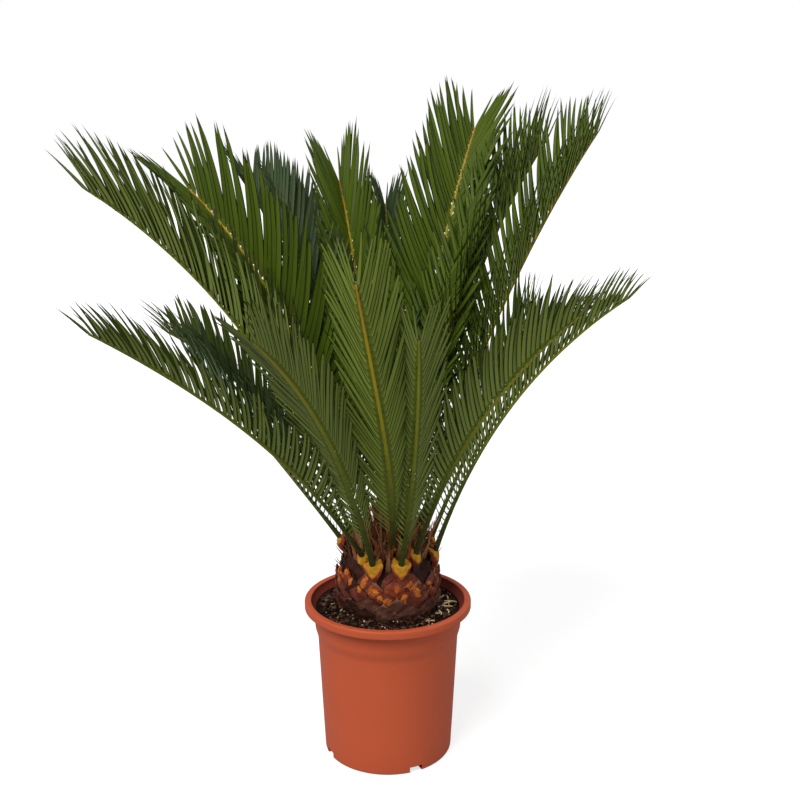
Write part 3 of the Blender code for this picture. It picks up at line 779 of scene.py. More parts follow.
leaf_shared = [waxy("leaflet root", LEAF_ROOT), waxy("leaflet point", LEAF_POINT, (0.5, 0.7)),
               waxy("leaflet margin shade", LEAF_MARGIN_SHADE)]
leaf_sets = {}
for tone, colours in LEAF_TONES.items():
    uppers = [waxy(f"leaflet {tone} upper {k + 1}", colour) for k, colour in enumerate(colours["upper"])]
    under = waxy(f"leaflet {tone} underside", colours["under"], (0.55, 0.70), 0.10)
    leaf_sets[tone] = [*uppers, under, *leaf_shared]
rib_sets = {}
for tone, keys in RIB_KEYS.items():
    channels = [np.interp(np.linspace(0, 1, RIB_TONE_COUNT), RIB_SHARES_TONED, channel)
                for channel in zip(*keys)]
    rib_sets[tone] = [waxy(f"rib {tone} {k + 1}", colour)
                      for k, colour in enumerate(np.stack(channels, 1).tolist())]
    rib_sets[tone].append(waxy(f"rib {tone} flank", RIB_SHADED_FLANKS[tone]))
print("leaf finishes:", {tone: len(made) for tone, made in leaf_sets.items()},
      "rib finishes:", {tone: len(made) for tone, made in rib_sets.items()})

# %% [markdown]
# ## Leaflets
#
# Each leaflet is a narrow blade with rolled-under edges, a groove down its upper face and a
# keel below, and it ends in a spine. It tapers over its outer half, leans on towards the
# frond's tip and is twisted a little, so that the rank overlaps like the slats of a blind.
# A texture on flat cards would be cheaper, but the gaps between real blades make the look.

# %% Sizes of a leaflet
# Pitch, full width and how far leaflets relax towards their tips, where they are this long.
SIZED_AT = (0.085, 0.160)
LEAFLET_PITCH = (8.4 * MM, 11.0 * MM)
LEAFLET_WIDTH = (5.2 * MM, 9.1 * MM)
LEAFLET_RELAX = (math.radians(20), math.radians(8))
LEAFLET_STEPS = 13
LEAFLET_TWIST = math.radians(-20)
LEAFLET_SECTION = np.array([(1.0, -0.28), (0.70, 0.02), (0.0, -0.14), (-0.70, 0.02), (-1.0, -0.28),
                            (-0.72, -0.25), (0.0, -0.42), (0.72, -0.25)])
# The section's first sides face up, and those at its two edges are the margins, which take a painted shade.
UPPER_SIDES = 4
SHADED_MARGIN_SIDES = (0, UPPER_SIDES - 1, UPPER_SIDES, -1)
# The finishes of a leaflet after its three upper tones, and how often each tone comes.
UNDER, LEAF_ROOTS, LEAF_POINTS, MARGIN_SHADE = range(3, 7)
UPPER_TONES = (0, 0, 0, 1, 1, 2)
# The share of leaflets whose point is pale.
POINTED = 0.4
TERMINAL_FROM = 0.97
TERMINAL_ANGLE = math.radians(14)
# Where a leaflet leaves the rib, in rib radii to the side and up, and how deep it is sunk.
ROOT_PLACE, ROOT_SINK = (0.98, 0.25), 1.2 * MM
# The root is this share of the full width, and grows to it over this share of the length.
ROOT_WIDTH, ROOT_LENGTH = 0.52, 0.13
RIB_CLEAR = 2.0 * MM
SHORTEST_KEPT = 8 * MM
# How unevenly a frond grows: the spread of its leaflets' places, angles, folds, twists and
# lengths, and the range of their curl and relaxing.
PLACE_SPREAD, REACH_SPREAD = 0.0012, 0.03
ANGLE_SPREAD, FOLD_SPREAD, TWIST_SPREAD = math.radians(1.2), math.radians(1.9), math.radians(8)
CURL_RANGE, RELAX_RANGE = (0.5, 1.5), (0.4, 1.6)
print("leaflet pitch", LEAFLET_PITCH, "and width", LEAFLET_WIDTH, "for leaflets of", SIZED_AT, "m")

# %% Grow the leaflets
def leaflet_lines(frond, share, hand, reach, angle, fold, curl, relax, twist):
    """Centre lines and section axes of one frond's leaflets."""
    point, along, side, up, radius = rib_frames(frond, share)
    part = np.linspace(0, 1, LEAFLET_STEPS)[None]
    lean = angle[:, None] - curl[:, None] * part
    open_ = fold[:, None] - relax[:, None] * part ** 2
    outward = ((side * hand[:, None])[:, None] * np.cos(open_)[..., None]
               + up[:, None] * np.sin(open_)[..., None])
    forward = along[:, None]
    heading = forward * np.cos(lean)[..., None] + outward * np.sin(lean)[..., None]
    step = reach[:, None, None] / (LEAFLET_STEPS - 1)
    walked = np.concatenate([np.zeros((len(share), 1, 3)),
                             np.cumsum((heading[:, 1:] + heading[:, :-1]) / 2 * step, 1)], 1)
    foot = side * (hand * radius * ROOT_PLACE[0])[:, None] + up * (radius * ROOT_PLACE[1])[:, None]
    centres = (point + foot)[:, None] - heading[:, :1] * ROOT_SINK + walked
    wide = (forward * np.sin(lean)[..., None] - outward * np.cos(lean)[..., None]) * hand[:, None, None]
    over = np.cross(outward, np.broadcast_to(forward, outward.shape)) * hand[:, None, None]
    turn = (twist * hand)[:, None, None]
    return centres, wide * np.cos(turn) - over * np.sin(turn), over * np.cos(turn) + wide * np.sin(turn)


def leaflet_outline(frond, share, reach):
    """Half width along a leaflet: narrow root, even middle, a point that is longer at the tip."""
    part = np.linspace(0, 1, LEAFLET_STEPS)[None]
    slim = 0.26 + 0.26 * np.clip((share[:, None] - 0.72) / 0.2, 0, 1)
    root = np.minimum(1.0, ROOT_WIDTH + part / ROOT_LENGTH)
    taper = 1.0 - slim * np.clip((part - 0.30) / 0.5, 0, 1)
    point = 1.0 - 0.92 * np.clip((part - 0.80) / 0.20, 0, 1) ** 1.3
    grown = np.clip(reach / frond.leaflet / 0.8, 0.3, 1.0) ** 0.9
    full = np.interp(frond.leaflet, SIZED_AT, LEAFLET_WIDTH) / 2 * grown
    return full[:, None] * root * (taper * point)


def cut_back(centres, spots, radii, reach):
    """Shorten leaflets that would run through another frond's rib."""
    near = np.linalg.norm(centres[:, 1:, None] - spots[None, None], axis=-1) - radii < RIB_CLEAR
    hit = near.any(-1)
    first = np.where(hit.any(1), hit.argmax(1) + 0.2, LEAFLET_STEPS - 1)
    return reach * first / (LEAFLET_STEPS - 1)


def leaflet_places(frond):
    """Shares of the rib's length and hands: the two ranks take turns."""
    pitch = np.interp(frond.leaflet, SIZED_AT, LEAFLET_PITCH)
    pairs = int(round(frond.length * (1.0 - FIRST_LEAFLET) / pitch))
    share = np.linspace(FIRST_LEAFLET, 1.0, 2 * pairs)
    return share, np.where(np.arange(2 * pairs) % 2, 1.0, -1.0)

rib_spots = [rib_frames(frond, np.linspace(0, 1, 70)) for frond in FRONDS]


def grow_leaflets(index, frond):
    rng = np.random.default_rng(100 + index)
    share, hand = leaflet_places(frond)
    count = len(share)
    share = np.clip(share + rng.normal(0, PLACE_SPREAD, count), FIRST_LEAFLET, 1.0)
    end = np.clip((share - TERMINAL_FROM) / (1 - TERMINAL_FROM), 0, 1)
    low = np.clip(1 - share / SPREAD_UNTIL, 0, 1)
    spread = SPREAD_LOW * low ** 1.4
    angle = blend(ANGLE_BASE, ANGLE_TIP, share ** ANGLE_POWER) + spread
    angle = blend(angle, TERMINAL_ANGLE, end ** 1.5) + rng.normal(0, ANGLE_SPREAD, count)
    fold = math.radians(frond.fold) + FOLD_MORE * share - FLAT_LOW * low
    fold = fold + rng.normal(0, FOLD_SPREAD, count)
    curl = (LEAFLET_CURL * (1 - 0.6 * end) + 0.8 * spread) * rng.uniform(*CURL_RANGE, count)
    relax = np.interp(frond.leaflet, SIZED_AT, LEAFLET_RELAX) * rng.uniform(*RELAX_RANGE, count)
    twist = LEAFLET_TWIST + rng.normal(0, TWIST_SPREAD, count)
    reach = leaflet_reach(frond, share) * rng.normal(1.0, REACH_SPREAD, count)
    others = [spots for k, spots in enumerate(rib_spots) if k != index]
    spots, radii = (np.concatenate([other[part] for other in others]) for part in (0, 4))
    centres = leaflet_lines(frond, share, hand, reach, angle, fold, curl, relax, twist)[0]
    reach = cut_back(centres, spots, radii, reach)
    keep = reach > SHORTEST_KEPT
    shape = [values[keep] for values in (share, hand, reach, angle, fold, curl, relax, twist)]
    centres, wide, over = leaflet_lines(frond, *shape)
    half = leaflet_outline(frond, share[keep], reach[keep])[..., None]
    finish = np.empty((len(centres), LEAFLET_STEPS - 1, len(LEAFLET_SECTION)), int)
    finish[:] = rng.choice(UPPER_TONES, len(centres))[:, None, None]
    finish[:, :, UPPER_SIDES:] = UNDER
    # The rolled margins are painted dark: painted shade between neighbouring leaflets.
    finish[:, :, SHADED_MARGIN_SIDES] = MARGIN_SHADE
    finish[:, 0] = LEAF_ROOTS
    pointed = rng.random(len(centres)) < POINTED
    finish[:, -1] = np.where(pointed, LEAF_POINTS, finish[:, -2, 0])[:, None]
    heap = Heap()
    heap.add_rods(centres, wide * half, over * half, LEAFLET_SECTION, finish)
    piece = heap.make(f"leaflets_{index + 1:02d}", leaf_sets[frond.tone])
    return dress(piece, "frond_leaf", f"frond_{index + 1:02d}")


leaflet_pieces = [grow_leaflets(index, frond) for index, frond in enumerate(FRONDS)]
leaflet_faces = sum(len(piece.data.polygons) for piece in leaflet_pieces)
print("leaflet pieces:", len(leaflet_pieces), "faces:", leaflet_faces)

# %% [markdown]
# ## Ribs and stalks
#
# The rib is round below and grooved above, where the leaflets stand. It thickens towards the
# trunk into a bare stalk with a few spines. Its colour changes along its length, so each
# short stretch of the mesh takes one of fourteen plain colours, with a fifteenth, a painted
# shade, on its flanks.

# %% Grow the ribs
RIB_STATIONS = 90
RIB_SECTION = np.array([(1.00, 0.10), (0.80, 0.55), (0.42, 0.62), (0.22, 0.80), (-0.22, 0.80), (-0.42, 0.62),
                        (-0.80, 0.55), (-1.00, 0.10), (-0.85, -0.55), (-0.35, -0.95), (0.35, -0.95),
                        (0.85, -0.55)])
# Sides of the section that take the flanks' painted shade, and the share of the rib it starts from.
RIB_SHADED_FLANK_SIDES, SHADED_FLANK_FROM = (7, 11), 0.34
# Shares at which the stalk goes on into its leaf base, and how much the stalk thickens there.
STALK_FOOT, STALK_SWELL, STALK_SWELL_OVER = [-0.022, -0.012], 0.10, 0.05
TONE_SPREAD = 0.35
SPINE_PAIRS = 4
SPINE_STEPS, SPINE_RADIUS, SPINE_TONE = 4, 0.9 * MM, 3


def add_spines(heap, rng, frond, reference):
    """Short spines in place of leaflets on the stalk."""
    spot = np.repeat(np.linspace(0.045, FIRST_LEAFLET - 0.01, SPINE_PAIRS), 2)
    spot = spot + rng.normal(0, 0.003, 2 * SPINE_PAIRS)
    hand = np.tile([1.0, -1.0], SPINE_PAIRS)[:, None]
    root, forward, sideward, upper, thick = rib_frames(frond, spot)
    heading = unit(sideward * hand + upper * 0.5 + forward * rng.uniform(0.3, 0.9, (2 * SPINE_PAIRS, 1)))
    lines, directions = bent_lines(root + heading * thick[:, None] * 0.6, heading, heading + forward,
                                   rng.uniform(5, 13, 2 * SPINE_PAIRS) * MM, SPINE_STEPS)
    across, over = sideways(directions, reference)
    slim = (SPINE_RADIUS * np.linspace(1, 0.35, SPINE_STEPS))[None, :, None]
    heap.add_rods(lines, across * slim, over * slim, ring_section(5), SPINE_TONE)


def grow_rib(index, frond):
    rng = np.random.default_rng(300 + index)
    share = np.concatenate([STALK_FOOT, np.linspace(0, 1, RIB_STATIONS)])
    point, along, side, up, radius = rib_frames(frond, share)
    radius = radius * np.where(share < 0, 0.9, 1.0)
    radius = radius * (1 + STALK_SWELL * np.exp(-np.clip(share, 0, 1) / STALK_SWELL_OVER))
    last = RIB_TONE_COUNT - 1
    tone = np.clip(share[1:], 0, 1) * last + rng.uniform(-TONE_SPREAD, TONE_SPREAD, len(share) - 1)
    tone = np.clip(np.round(tone), 0, last).astype(int)
    tones = np.repeat(tone[:, None], len(RIB_SECTION), 1)
    # The lower flanks take the painted shade.
    for shaded_flank in RIB_SHADED_FLANK_SIDES:
        tones[share[1:] > SHADED_FLANK_FROM, shaded_flank] = RIB_TONE_COUNT
    heap = Heap()
    heap.add_rods(point[None], -(side * radius[:, None])[None], (up * radius[:, None])[None], RIB_SECTION,
                  tones[None])
    add_spines(heap, rng, frond, along[0])
    finishes = rib_sets["fresh" if frond.tone == "fresh" else "mature"]
    return dress(heap.make(f"rib_{index + 1:02d}", finishes), "frond_leaf")


rib_pieces = [grow_rib(index, frond) for index, frond in enumerate(FRONDS)]
print("rib pieces:", len(rib_pieces), "faces:", sum(len(piece.data.polygons) for piece in rib_pieces))

# %% [markdown]
# ## The trunk
#
# A cycad's trunk grows no bark of its own: what shows is the armour of old leaf bases, each a
# thick rhombic scale that points up. They follow one another round the trunk by the golden
# angle, like the scales of a cone. A living base swells out to its stalk and closes round it
# with two ears, and its upper face is a bright yellow heart. Where old stalks were cut or
# torn, the flesh shows orange.
#
# Each scale is a grid of small faces with a back, so a heart or a wound is simply the set of
# faces that fall inside its outline. That keeps each colour in its place without an image.

# %% Sizes of the trunk's armour
SCALE_COUNT = 72
SCALE_LOWEST, SCALE_HIGHEST = -12 * MM, 43 * MM
SCALE_COLUMNS, SCALE_ROWS = 21, 24
# Widths, heights and thicknesses of an old leaf base in mm, at the lowest and the highest, and
# how far it stands proud, from the least to the most at each end.
OLD_WIDTH, OLD_HEIGHT, OLD_THICK = (45, 29), (30, 33), (2.6, 1.5)
OLD_PROUD_LEAST, OLD_PROUD_MOST = 5.0, (9.5, 6.5)
# Half widths of a leaf base from foot to top: an old one closes to a point, a living one opens.
OLD_BASE = ((0.0, 0.60), (0.20, 0.88), (0.42, 1.00), (0.68, 0.76), (0.86, 0.42), (1.0, 0.03))
LIVING_BASE = ((0.0, 0.20), (0.25, 0.50), (0.55, 0.86), (0.80, 1.00), (0.93, 0.84), (1.0, 0.55))
# The dark finish also serves as painted shade on the edge bands; the dry edges are dry tissue with a painted
# highlight.
MAROON, GREY, DARK_BASE_AND_SHADE, WOUND, HEART, DRY_AND_HIGHLIGHT, RED = range(7)
# In mm: width of a living base, and its height above and below where its stalk comes out.
HEART_SIZES = {"low": (28, 4, 27), "outer": (21, 4, 24), "middle": (15, 3, 18), "inner": (10, 3, 12)}
EMERGE = 9 * MM
STALK_CLEAR = 1.8 * MM
OLD_DEPTH, LIVING_DEPTH = 2.0 * MM, 5.0 * MM
# Where an old base's edge band starts, as a share of its half width or height, and how much
# noise shifts it. On each base the band is one of three: weathered grey, dry tan with a painted
# highlight, and dark, a painted shade that outlines the scale.
EDGE_FROM, EDGE_RAGGED = 0.93, 0.30
# How far up a living base its heart's point is, how much higher the heart's border is at the
# sides, how uneven it is, and how wide the orange line below it is, as shares of the height.
HEART_POINT, HEART_CURVE, HEART_UNEVEN, HEART_LINE = 0.38, 0.44, 0.12, 0.08
# Size, seed and strength of the noise round a wound, and of the lumps on the core.
WOUND_NOISE = ((5.0 * MM, 17.0, 1.0), (1.9 * MM, 23.0, 0.9))
CORE_LUMPS = (6 * MM, 1.5, 1.2 * MM)
CORE_ROWS, CORE_STEPS, CORE_INSET = 34, 90, 1 * MM
# direction in degrees, height above the trunk's foot, width, height and slant of each wound
WOUNDS = ((193, 58, 9, 12, 0.4), (204, 50, 12, 18, 0.4), (216, 63, 8, 9, 0.0), (224, 52, 8, 13, 0.6),
          (243, 55, 9, 20, 0.9), (254, 47, 13, 12, -0.5), (262, 38, 8, 8, 0.0), (270, 33, 10, 9, 0.3),
          (281, 50, 8, 9, 0.2), (288, 36, 8, 11, 0.3), (297, 52, 15, 10, -0.5), (303, 42, 10, 14, -0.7),
          (316, 56, 7, 16, -1.1), (325, 44, 7, 13, -0.8), (337, 58, 8, 14, -0.5), (347, 40, 8, 9, 0.2),
          (10, 52, 12, 14, 0.4), (38, 46, 10, 12, 0.0), (66, 54, 14, 12, 0.5), (97, 48, 9, 15, -0.4),
          (128, 56, 13, 13, 0.3), (160, 50, 10, 16, -0.5))


def from_pairs(place, pairs):
    """Read a value at a place, or at an array of places, from (place, value) pairs."""
    return np.interp(place, [pair[0] for pair in pairs], [pair[1] for pair in pairs])


def trunk_radius(height):
    """Radius of the trunk's core at a height above its foot."""
    return from_pairs(height, TRUNK_OUTLINE)


def scale_grid(angle, low, width, tall, proud, thick, seed, outline, droop=0.12, full=1.0):
    """Outer face of one leaf base as a grid of points, wrapped round the trunk.

    droop lowers the base's corners, and full is the share of its height where it stands
    fully proud."""
    u = np.linspace(-1, 1, SCALE_COLUMNS)[None]
    v = np.linspace(0, 1, SCALE_ROWS)[:, None]
    half = from_pairs(v, outline) * width / 2
    height = low + tall * v - tall * droop * v * np.abs(u) ** 1.5
    core = trunk_radius(np.clip(height, 0, None))
    lift = proud * np.minimum(v / full, 1.0) ** 1.2
    keel = thick * (1 - np.abs(u) ** 1.5) * np.sin(math.pi * np.clip(v * 0.9 + 0.1, 0, 1))
    spread = angle + u * half / BASE_GIRTH
    points = around(core + lift + keel - 0.6 * MM, spread, TRUNK_FOOT + np.clip(height, 0.4 * MM, None))
    wrinkle = rough(points * np.array([1.0, 1.0, 0.4]), 2.2 * MM, seed) * 0.35 * MM
    wrinkle += rough(points, 7 * MM, seed + 4.0) * 1.6 * MM
    outward = unit(points * np.array([1.0, 1.0, 0.0]))
    ragged = rough(points, 2.0 * MM, seed + 8.0).reshape(SCALE_ROWS, SCALE_COLUMNS)
    points[..., 2] += ragged * v ** 3 * 1.6 * MM
    return points + outward * wrinkle.reshape(SCALE_ROWS, SCALE_COLUMNS, 1), outward


def face_middles(grid):
    return (grid[:-1, :-1] + grid[1:, :-1] + grid[1:, 1:] + grid[:-1, 1:]) / 4


# Places across a base, from edge to edge, and up it, for the middles of its faces.
ACROSS = np.linspace(-1, 1, SCALE_COLUMNS - 1)[None]
UPWARD = np.linspace(0, 1, SCALE_ROWS - 1)[:, None]


def wounded(middles):
    """Which faces lie in a wound; noise makes each outline uneven."""
    direction = np.degrees(np.arctan2(middles[..., 1], middles[..., 0]))
    height = (middles[..., 2] - TRUNK_FOOT) / MM
    uneven = sum(heaved(middles, noise_of) for noise_of in WOUND_NOISE).reshape(height.shape)
    inside = np.zeros(height.shape, bool)
    for centre, level, wide, tall, slant in WOUNDS:
        x = ((direction - centre + 180) % 360 - 180) * math.radians(1.0) * TRUNK_GIRTH / MM
        x = x - slant * (height - level) * 0.5
        inside |= (2 * x / wide) ** 2 + (2 * (height - level) / tall) ** 2 < 1 + uneven
    return inside


def closed_shell(heap, points, outward, depth, finish):
    """Back a grid of points with a second one, depth further in, and close the border."""
    rows, columns = points.shape[:2]
    number = np.arange(rows * columns).reshape(rows, columns)
    back = number + rows * columns
    front_faces = np.stack([number[:-1, :-1], number[:-1, 1:], number[1:, 1:], number[1:, :-1]], -1)
    back_faces = np.stack([back[:-1, :-1], back[1:, :-1], back[1:, 1:], back[:-1, 1:]], -1)
    border = np.concatenate([number[0, :], number[1:, -1], number[-1, -2::-1], number[-2:0:-1, 0]])
    after = np.roll(border, -1)
    shift = rows * columns
    rim = np.stack([after, border, border + shift, after + shift], -1)
    picked = finish.reshape(-1).tolist()
    heap.add(np.concatenate([points.reshape(-1, 3), (points - outward * depth).reshape(-1, 3)]),
             front_faces.reshape(-1, 4).tolist() + back_faces.reshape(-1, 4).tolist() + rim.tolist(),
             picked + picked + [picked[0]] * len(rim))


def add_old_base(heap, rng, index):
    """A leaf base that lost its leaf: weathered low down, redder and often torn higher up."""
    share = index / (SCALE_COUNT - 1)
    height = blend(SCALE_LOWEST, SCALE_HIGHEST, share) + rng.normal(0, 1.0 * MM)
    angle = index * GOLDEN_ANGLE + rng.normal(0, 0.07)
    width = blend(*OLD_WIDTH, share) * MM * rng.uniform(0.8, 1.1)
    tall = blend(*OLD_HEIGHT, share) * MM * rng.uniform(0.85, 1.15)
    proud = rng.uniform(OLD_PROUD_LEAST, blend(*OLD_PROUD_MOST, share)) * MM
    points, outward = scale_grid(angle, height, width, tall, proud, blend(*OLD_THICK, share) * MM,
                                 index * 1.7, OLD_BASE)
    body = int(rng.choice((MAROON, GREY, GREY, DARK_BASE_AND_SHADE) if share < 0.4 else (MAROON, MAROON, RED, RED, DARK_BASE_AND_SHADE)))
    finish = np.full((SCALE_ROWS - 1, SCALE_COLUMNS - 1), body)
    middles = face_middles(points)
    edge_noise = rough(middles, 3.5 * MM, index).reshape(finish.shape)
    # Edge band: weathered grey, dark as painted shade round the scale, and dry tan with a painted highlight.
    edge_band_finish = int(rng.choice((GREY, DARK_BASE_AND_SHADE, DARK_BASE_AND_SHADE, DRY_AND_HIGHLIGHT)))
    finish[np.maximum(np.abs(ACROSS), UPWARD) + EDGE_RAGGED * edge_noise > EDGE_FROM] = edge_band_finish
    finish[wounded(middles) & (share > 0.2)] = WOUND
    closed_shell(heap, points, outward, OLD_DEPTH, finish)


def add_living_base(heap, index, frond):
    """The base of a living stalk: its upper face is yellow, down to a point."""
    ring, height = TIERS[frond.tier]
    wide, above, below = HEART_SIZES[frond.tier]
    tall = (above + below) * MM
    # The base swells out to the stalk's outer face, and two ears close round the stalk.
    level = height + EMERGE
    stalk = ring + EMERGE / math.tan(math.radians(frond.rise)) + RIB_RADII[0] + STALK_CLEAR
    proud = max(stalk - trunk_radius(level - TRUNK_FOOT), 4.0 * MM)
    foot = level - TRUNK_FOOT - below * MM
    points, outward = scale_grid(math.radians(frond.azimuth), foot, wide * MM, tall, proud, 1.5 * MM,
                                 60 + index * 1.3, LIVING_BASE, -0.16, below * MM / tall)
    uneven = rough(face_middles(points), 8 * MM, index + 0.5).reshape(SCALE_ROWS - 1, SCALE_COLUMNS - 1)
    border = HEART_POINT + HEART_CURVE * np.abs(ACROSS) ** 1.3 + HEART_UNEVEN * uneven
    finish = np.where(UPWARD > border, HEART, np.where(UPWARD > border - HEART_LINE, WOUND, RED))
    closed_shell(heap, points, outward, LIVING_DEPTH, finish)


def core_relief(points):
    flat = points.reshape(-1, 3)
    outward = unit(flat * np.array([1.0, 1.0, 0.0]) + 1e-9)
    return (flat + outward * heaved(flat, CORE_LUMPS)[:, None]).reshape(points.shape)


trunk_heap = Heap()
heights = np.linspace(0, TRUNK_TOP - TRUNK_FOOT, CORE_ROWS)
core = [(float(trunk_radius(h)) - CORE_INSET, TRUNK_FOOT + h) for h in heights]
turned(trunk_heap, [(0.0, TRUNK_FOOT), *core, (0.0, TRUNK_TOP)], CORE_STEPS, DARK_BASE_AND_SHADE, core_relief)
rng = np.random.default_rng(21)
for index in range(SCALE_COUNT):
    add_old_base(trunk_heap, rng, index)
for index, frond in enumerate(FRONDS):
    add_living_base(trunk_heap, index, frond)
print("trunk faces so far:", len(trunk_heap.faces))

# %% [markdown]
# Between the stalks stand narrow scale leaves, brown and felted, and stiff fibres that dry to
# tan curls and black points. They are rods as well: flat ones for the scale leaves and
# thin round ones for the fibres.

# %% Scale leaves and fibres
DARK_HUSK, RED_HUSK, TAN_HUSK, TAN_FIBRE, BLACK_FIBRE = range(5)
HUSK_STEPS, FIBRE_STEPS = 9, 10
HUSK_SECTION = np.array([(1.0, -0.16), (0.5, 0.10), (0.0, 0.18), (-0.5, 0.10), (-1.0, -0.16), (0.0, -0.04)])
MIXED_HUSKS = (DARK_HUSK, RED_HUSK, RED_HUSK, TAN_HUSK)
LOW_HUSKS = (DARK_HUSK, DARK_HUSK, RED_HUSK, BLACK_FIBRE)


def upright(rng, count, radii, heights, lean, length, bend, steps):
    """Centre lines that stand round the axis and lean outwards."""
    angle = rng.uniform(0, FULL_TURN, count)
    starts = around(rng.uniform(*radii, count), angle, rng.uniform(*heights, count))
    out = around(1.0, angle, 0.0)
    side = np.cross([0.0, 0.0, 1.0], out)
    tilt = rng.uniform(*lean, count)[:, None]
    wander = rng.normal(0, 0.12, count)[:, None]
    heading = np.array([0, 0, 1.0]) + out * tilt + side * wander
    ending = heading + out * rng.uniform(*bend, count)[:, None] + side * rng.normal(0, 0.3, count)[:, None]
    lines, directions = bent_lines(starts, heading, ending, rng.uniform(*length, count), steps)
    return lines, directions, out


def add_husks(heap, rng, count, radii, heights, lean, length, widths, finishes=MIXED_HUSKS):
    """Pointed scale leaves, flat towards the axis."""
    lines, directions, out = upright(rng, count, radii, heights, lean, length, (-0.3, 0.3), HUSK_STEPS)
    across = unit(np.cross(directions, out[:, None]))
    over = np.cross(directions, across)
    part = np.linspace(0, 1, HUSK_STEPS)
    shape = np.minimum(1.0, 0.55 + part / 0.4) * (1 - part ** 1.6 * 0.93)
    half = rng.uniform(*widths, count)[:, None, None] * MM / 2 * shape[None, :, None]
    heap.add_rods(lines, across * half, over * half, HUSK_SECTION, rng.choice(finishes, count)[:, None, None])


def add_fibres(heap, rng, count, radii, heights, lean, length, thickness, bend, finish=TAN_FIBRE):
    lines, directions, _ = upright(rng, count, radii, heights, lean, length, bend, FIBRE_STEPS)
    across, over = sideways(directions, (0.3, 0.2, 0.1))
    thinner = np.linspace(1, 0.3, FIBRE_STEPS)[None, :, None]
    slim = rng.uniform(*thickness, count)[:, None, None] * MM * thinner
    heap.add_rods(lines, across * slim, over * slim, ring_section(5), finish)


# How many, between which radii and heights in m, with which lean and length, and how wide in mm.
rng = np.random.default_rng(31)
husk_heap = Heap()
add_husks(husk_heap, rng, 44, (0.003, 0.018), (0.310, 0.322), (0.02, 0.25), (0.045, 0.070), (6, 11))
add_husks(husk_heap, rng, 64, (0.018, 0.036), (0.300, 0.312), (0.05, 0.40), (0.045, 0.078), (7, 13))
add_fibres(husk_heap, rng, 90, (0.004, 0.032), (0.315, 0.340), (0.0, 0.6), (0.026, 0.052), (0.25, 0.55),
           (-1.2, 1.8))
felt_heap = Heap()
add_husks(felt_heap, rng, 90, (0.040, 0.056), (0.274, 0.298), (0.10, 0.50), (0.034, 0.066), (7, 14))
add_husks(felt_heap, rng, 60, (0.052, 0.060), (0.264, 0.290), (0.05, 0.40), (0.018, 0.034), (7, 12),
          LOW_HUSKS)
add_fibres(felt_heap, rng, 170, (0.034, 0.056), (0.282, 0.306), (0.0, 0.6), (0.026, 0.060), (0.20, 0.50),
           (-1.4, 1.6))
add_fibres(felt_heap, rng, 44, (0.062, 0.068), (0.262, 0.298), (0.3, 1.0), (0.010, 0.020), (0.60, 1.00),
           (-0.4, 0.2), BLACK_FIBRE)
print("husk faces:", len(husk_heap.faces), "felt faces:", len(felt_heap.faces))

# %% [markdown]
# A leaf base is fibrous, so its tones run upwards in streaks, and a husk's run in longer ones.
# Flesh that was cut or has stayed fresh is smoother, and has no streaks.

# %% Trunk finishes
def bark(name, tones, roughness, relief=0.6):
    return drifting_material(name, tones, 90.0, (1.0, 1.0, 0.45), roughness=roughness, grain_scale=700.0,
                             relief=relief)


def husk(name, *tones):
    return drifting_material(name, tones, 120.0, (1.0, 1.0, 0.2), roughness=(0.65, 0.95), grain_scale=900.0,
                             relief=0.5)


trunk_finishes = [
    bark("maroon leaf base", ((0.038, 0.007, 0.005), (0.120, 0.026, 0.015), (0.200, 0.062, 0.034)),
         (0.5, 0.8)),
    bark("weathered leaf base", ((0.040, 0.014, 0.009), (0.098, 0.037, 0.024), (0.170, 0.090, 0.058)),
         (0.6, 0.9)),
    # Dark leaf base, also used as painted shade on the edge bands.
    drifting_material("dark leaf base and painted shade", ((0.010, 0.003, 0.002), (0.034, 0.010, 0.006), (0.070, 0.024, 0.013)),
                      90.0, grain_scale=600.0, relief=0.6),
    drifting_material("orange wound", ((0.220, 0.038, 0.008), (0.420, 0.112, 0.018), (0.600, 0.240, 0.036)),
                      160.0, contrast=2.6, roughness=(0.5, 0.8), grain_scale=900.0, relief=0.5),
    drifting_material("yellow leaf base",
                      ((0.240, 0.075, 0.008), (0.430, 0.205, 0.012), (0.590, 0.360, 0.022)), 140.0,
                      contrast=2.2, roughness=(0.45, 0.65), grain_scale=900.0, relief=0.25),
    # Dry edge tones: dry tissue, and a painted highlight on the scale's edge.
    drifting_material("dry edge and painted highlight", ((0.100, 0.045, 0.022), (0.190, 0.100, 0.052), (0.300, 0.190, 0.110)),
                      160.0),
    bark("red-brown leaf base", ((0.080, 0.010, 0.005), (0.200, 0.036, 0.015), (0.310, 0.082, 0.027)),
         (0.5, 0.8), 0.5),
]
husk_finishes = [
    husk("dark husk", (0.034, 0.010, 0.006), (0.088, 0.027, 0.013), (0.150, 0.055, 0.026)),
    husk("red husk", (0.105, 0.024, 0.009), (0.225, 0.062, 0.021), (0.330, 0.130, 0.050)),
    husk("tan husk", (0.120, 0.048, 0.018), (0.240, 0.115, 0.046), (0.360, 0.210, 0.095)),
    plain_material("tan fibre", (0.380, 0.210, 0.090), 0.7)[0],
    plain_material("black fibre", (0.018, 0.012, 0.010), 0.6)[0],
]
trunk = dress(trunk_heap.make("trunk_leaf_bases", trunk_finishes, 45), "trunk_bark", "trunk")
husks = dress(husk_heap.make("crown_husks", husk_finishes), "tuft_husk", "tuft")
felt = dress(felt_heap.make("trunk_husks_and_fibres", husk_finishes), "trunk_bark")
for piece in (trunk, husks, felt):
    print(piece.name, "faces:", len(piece.data.polygons))

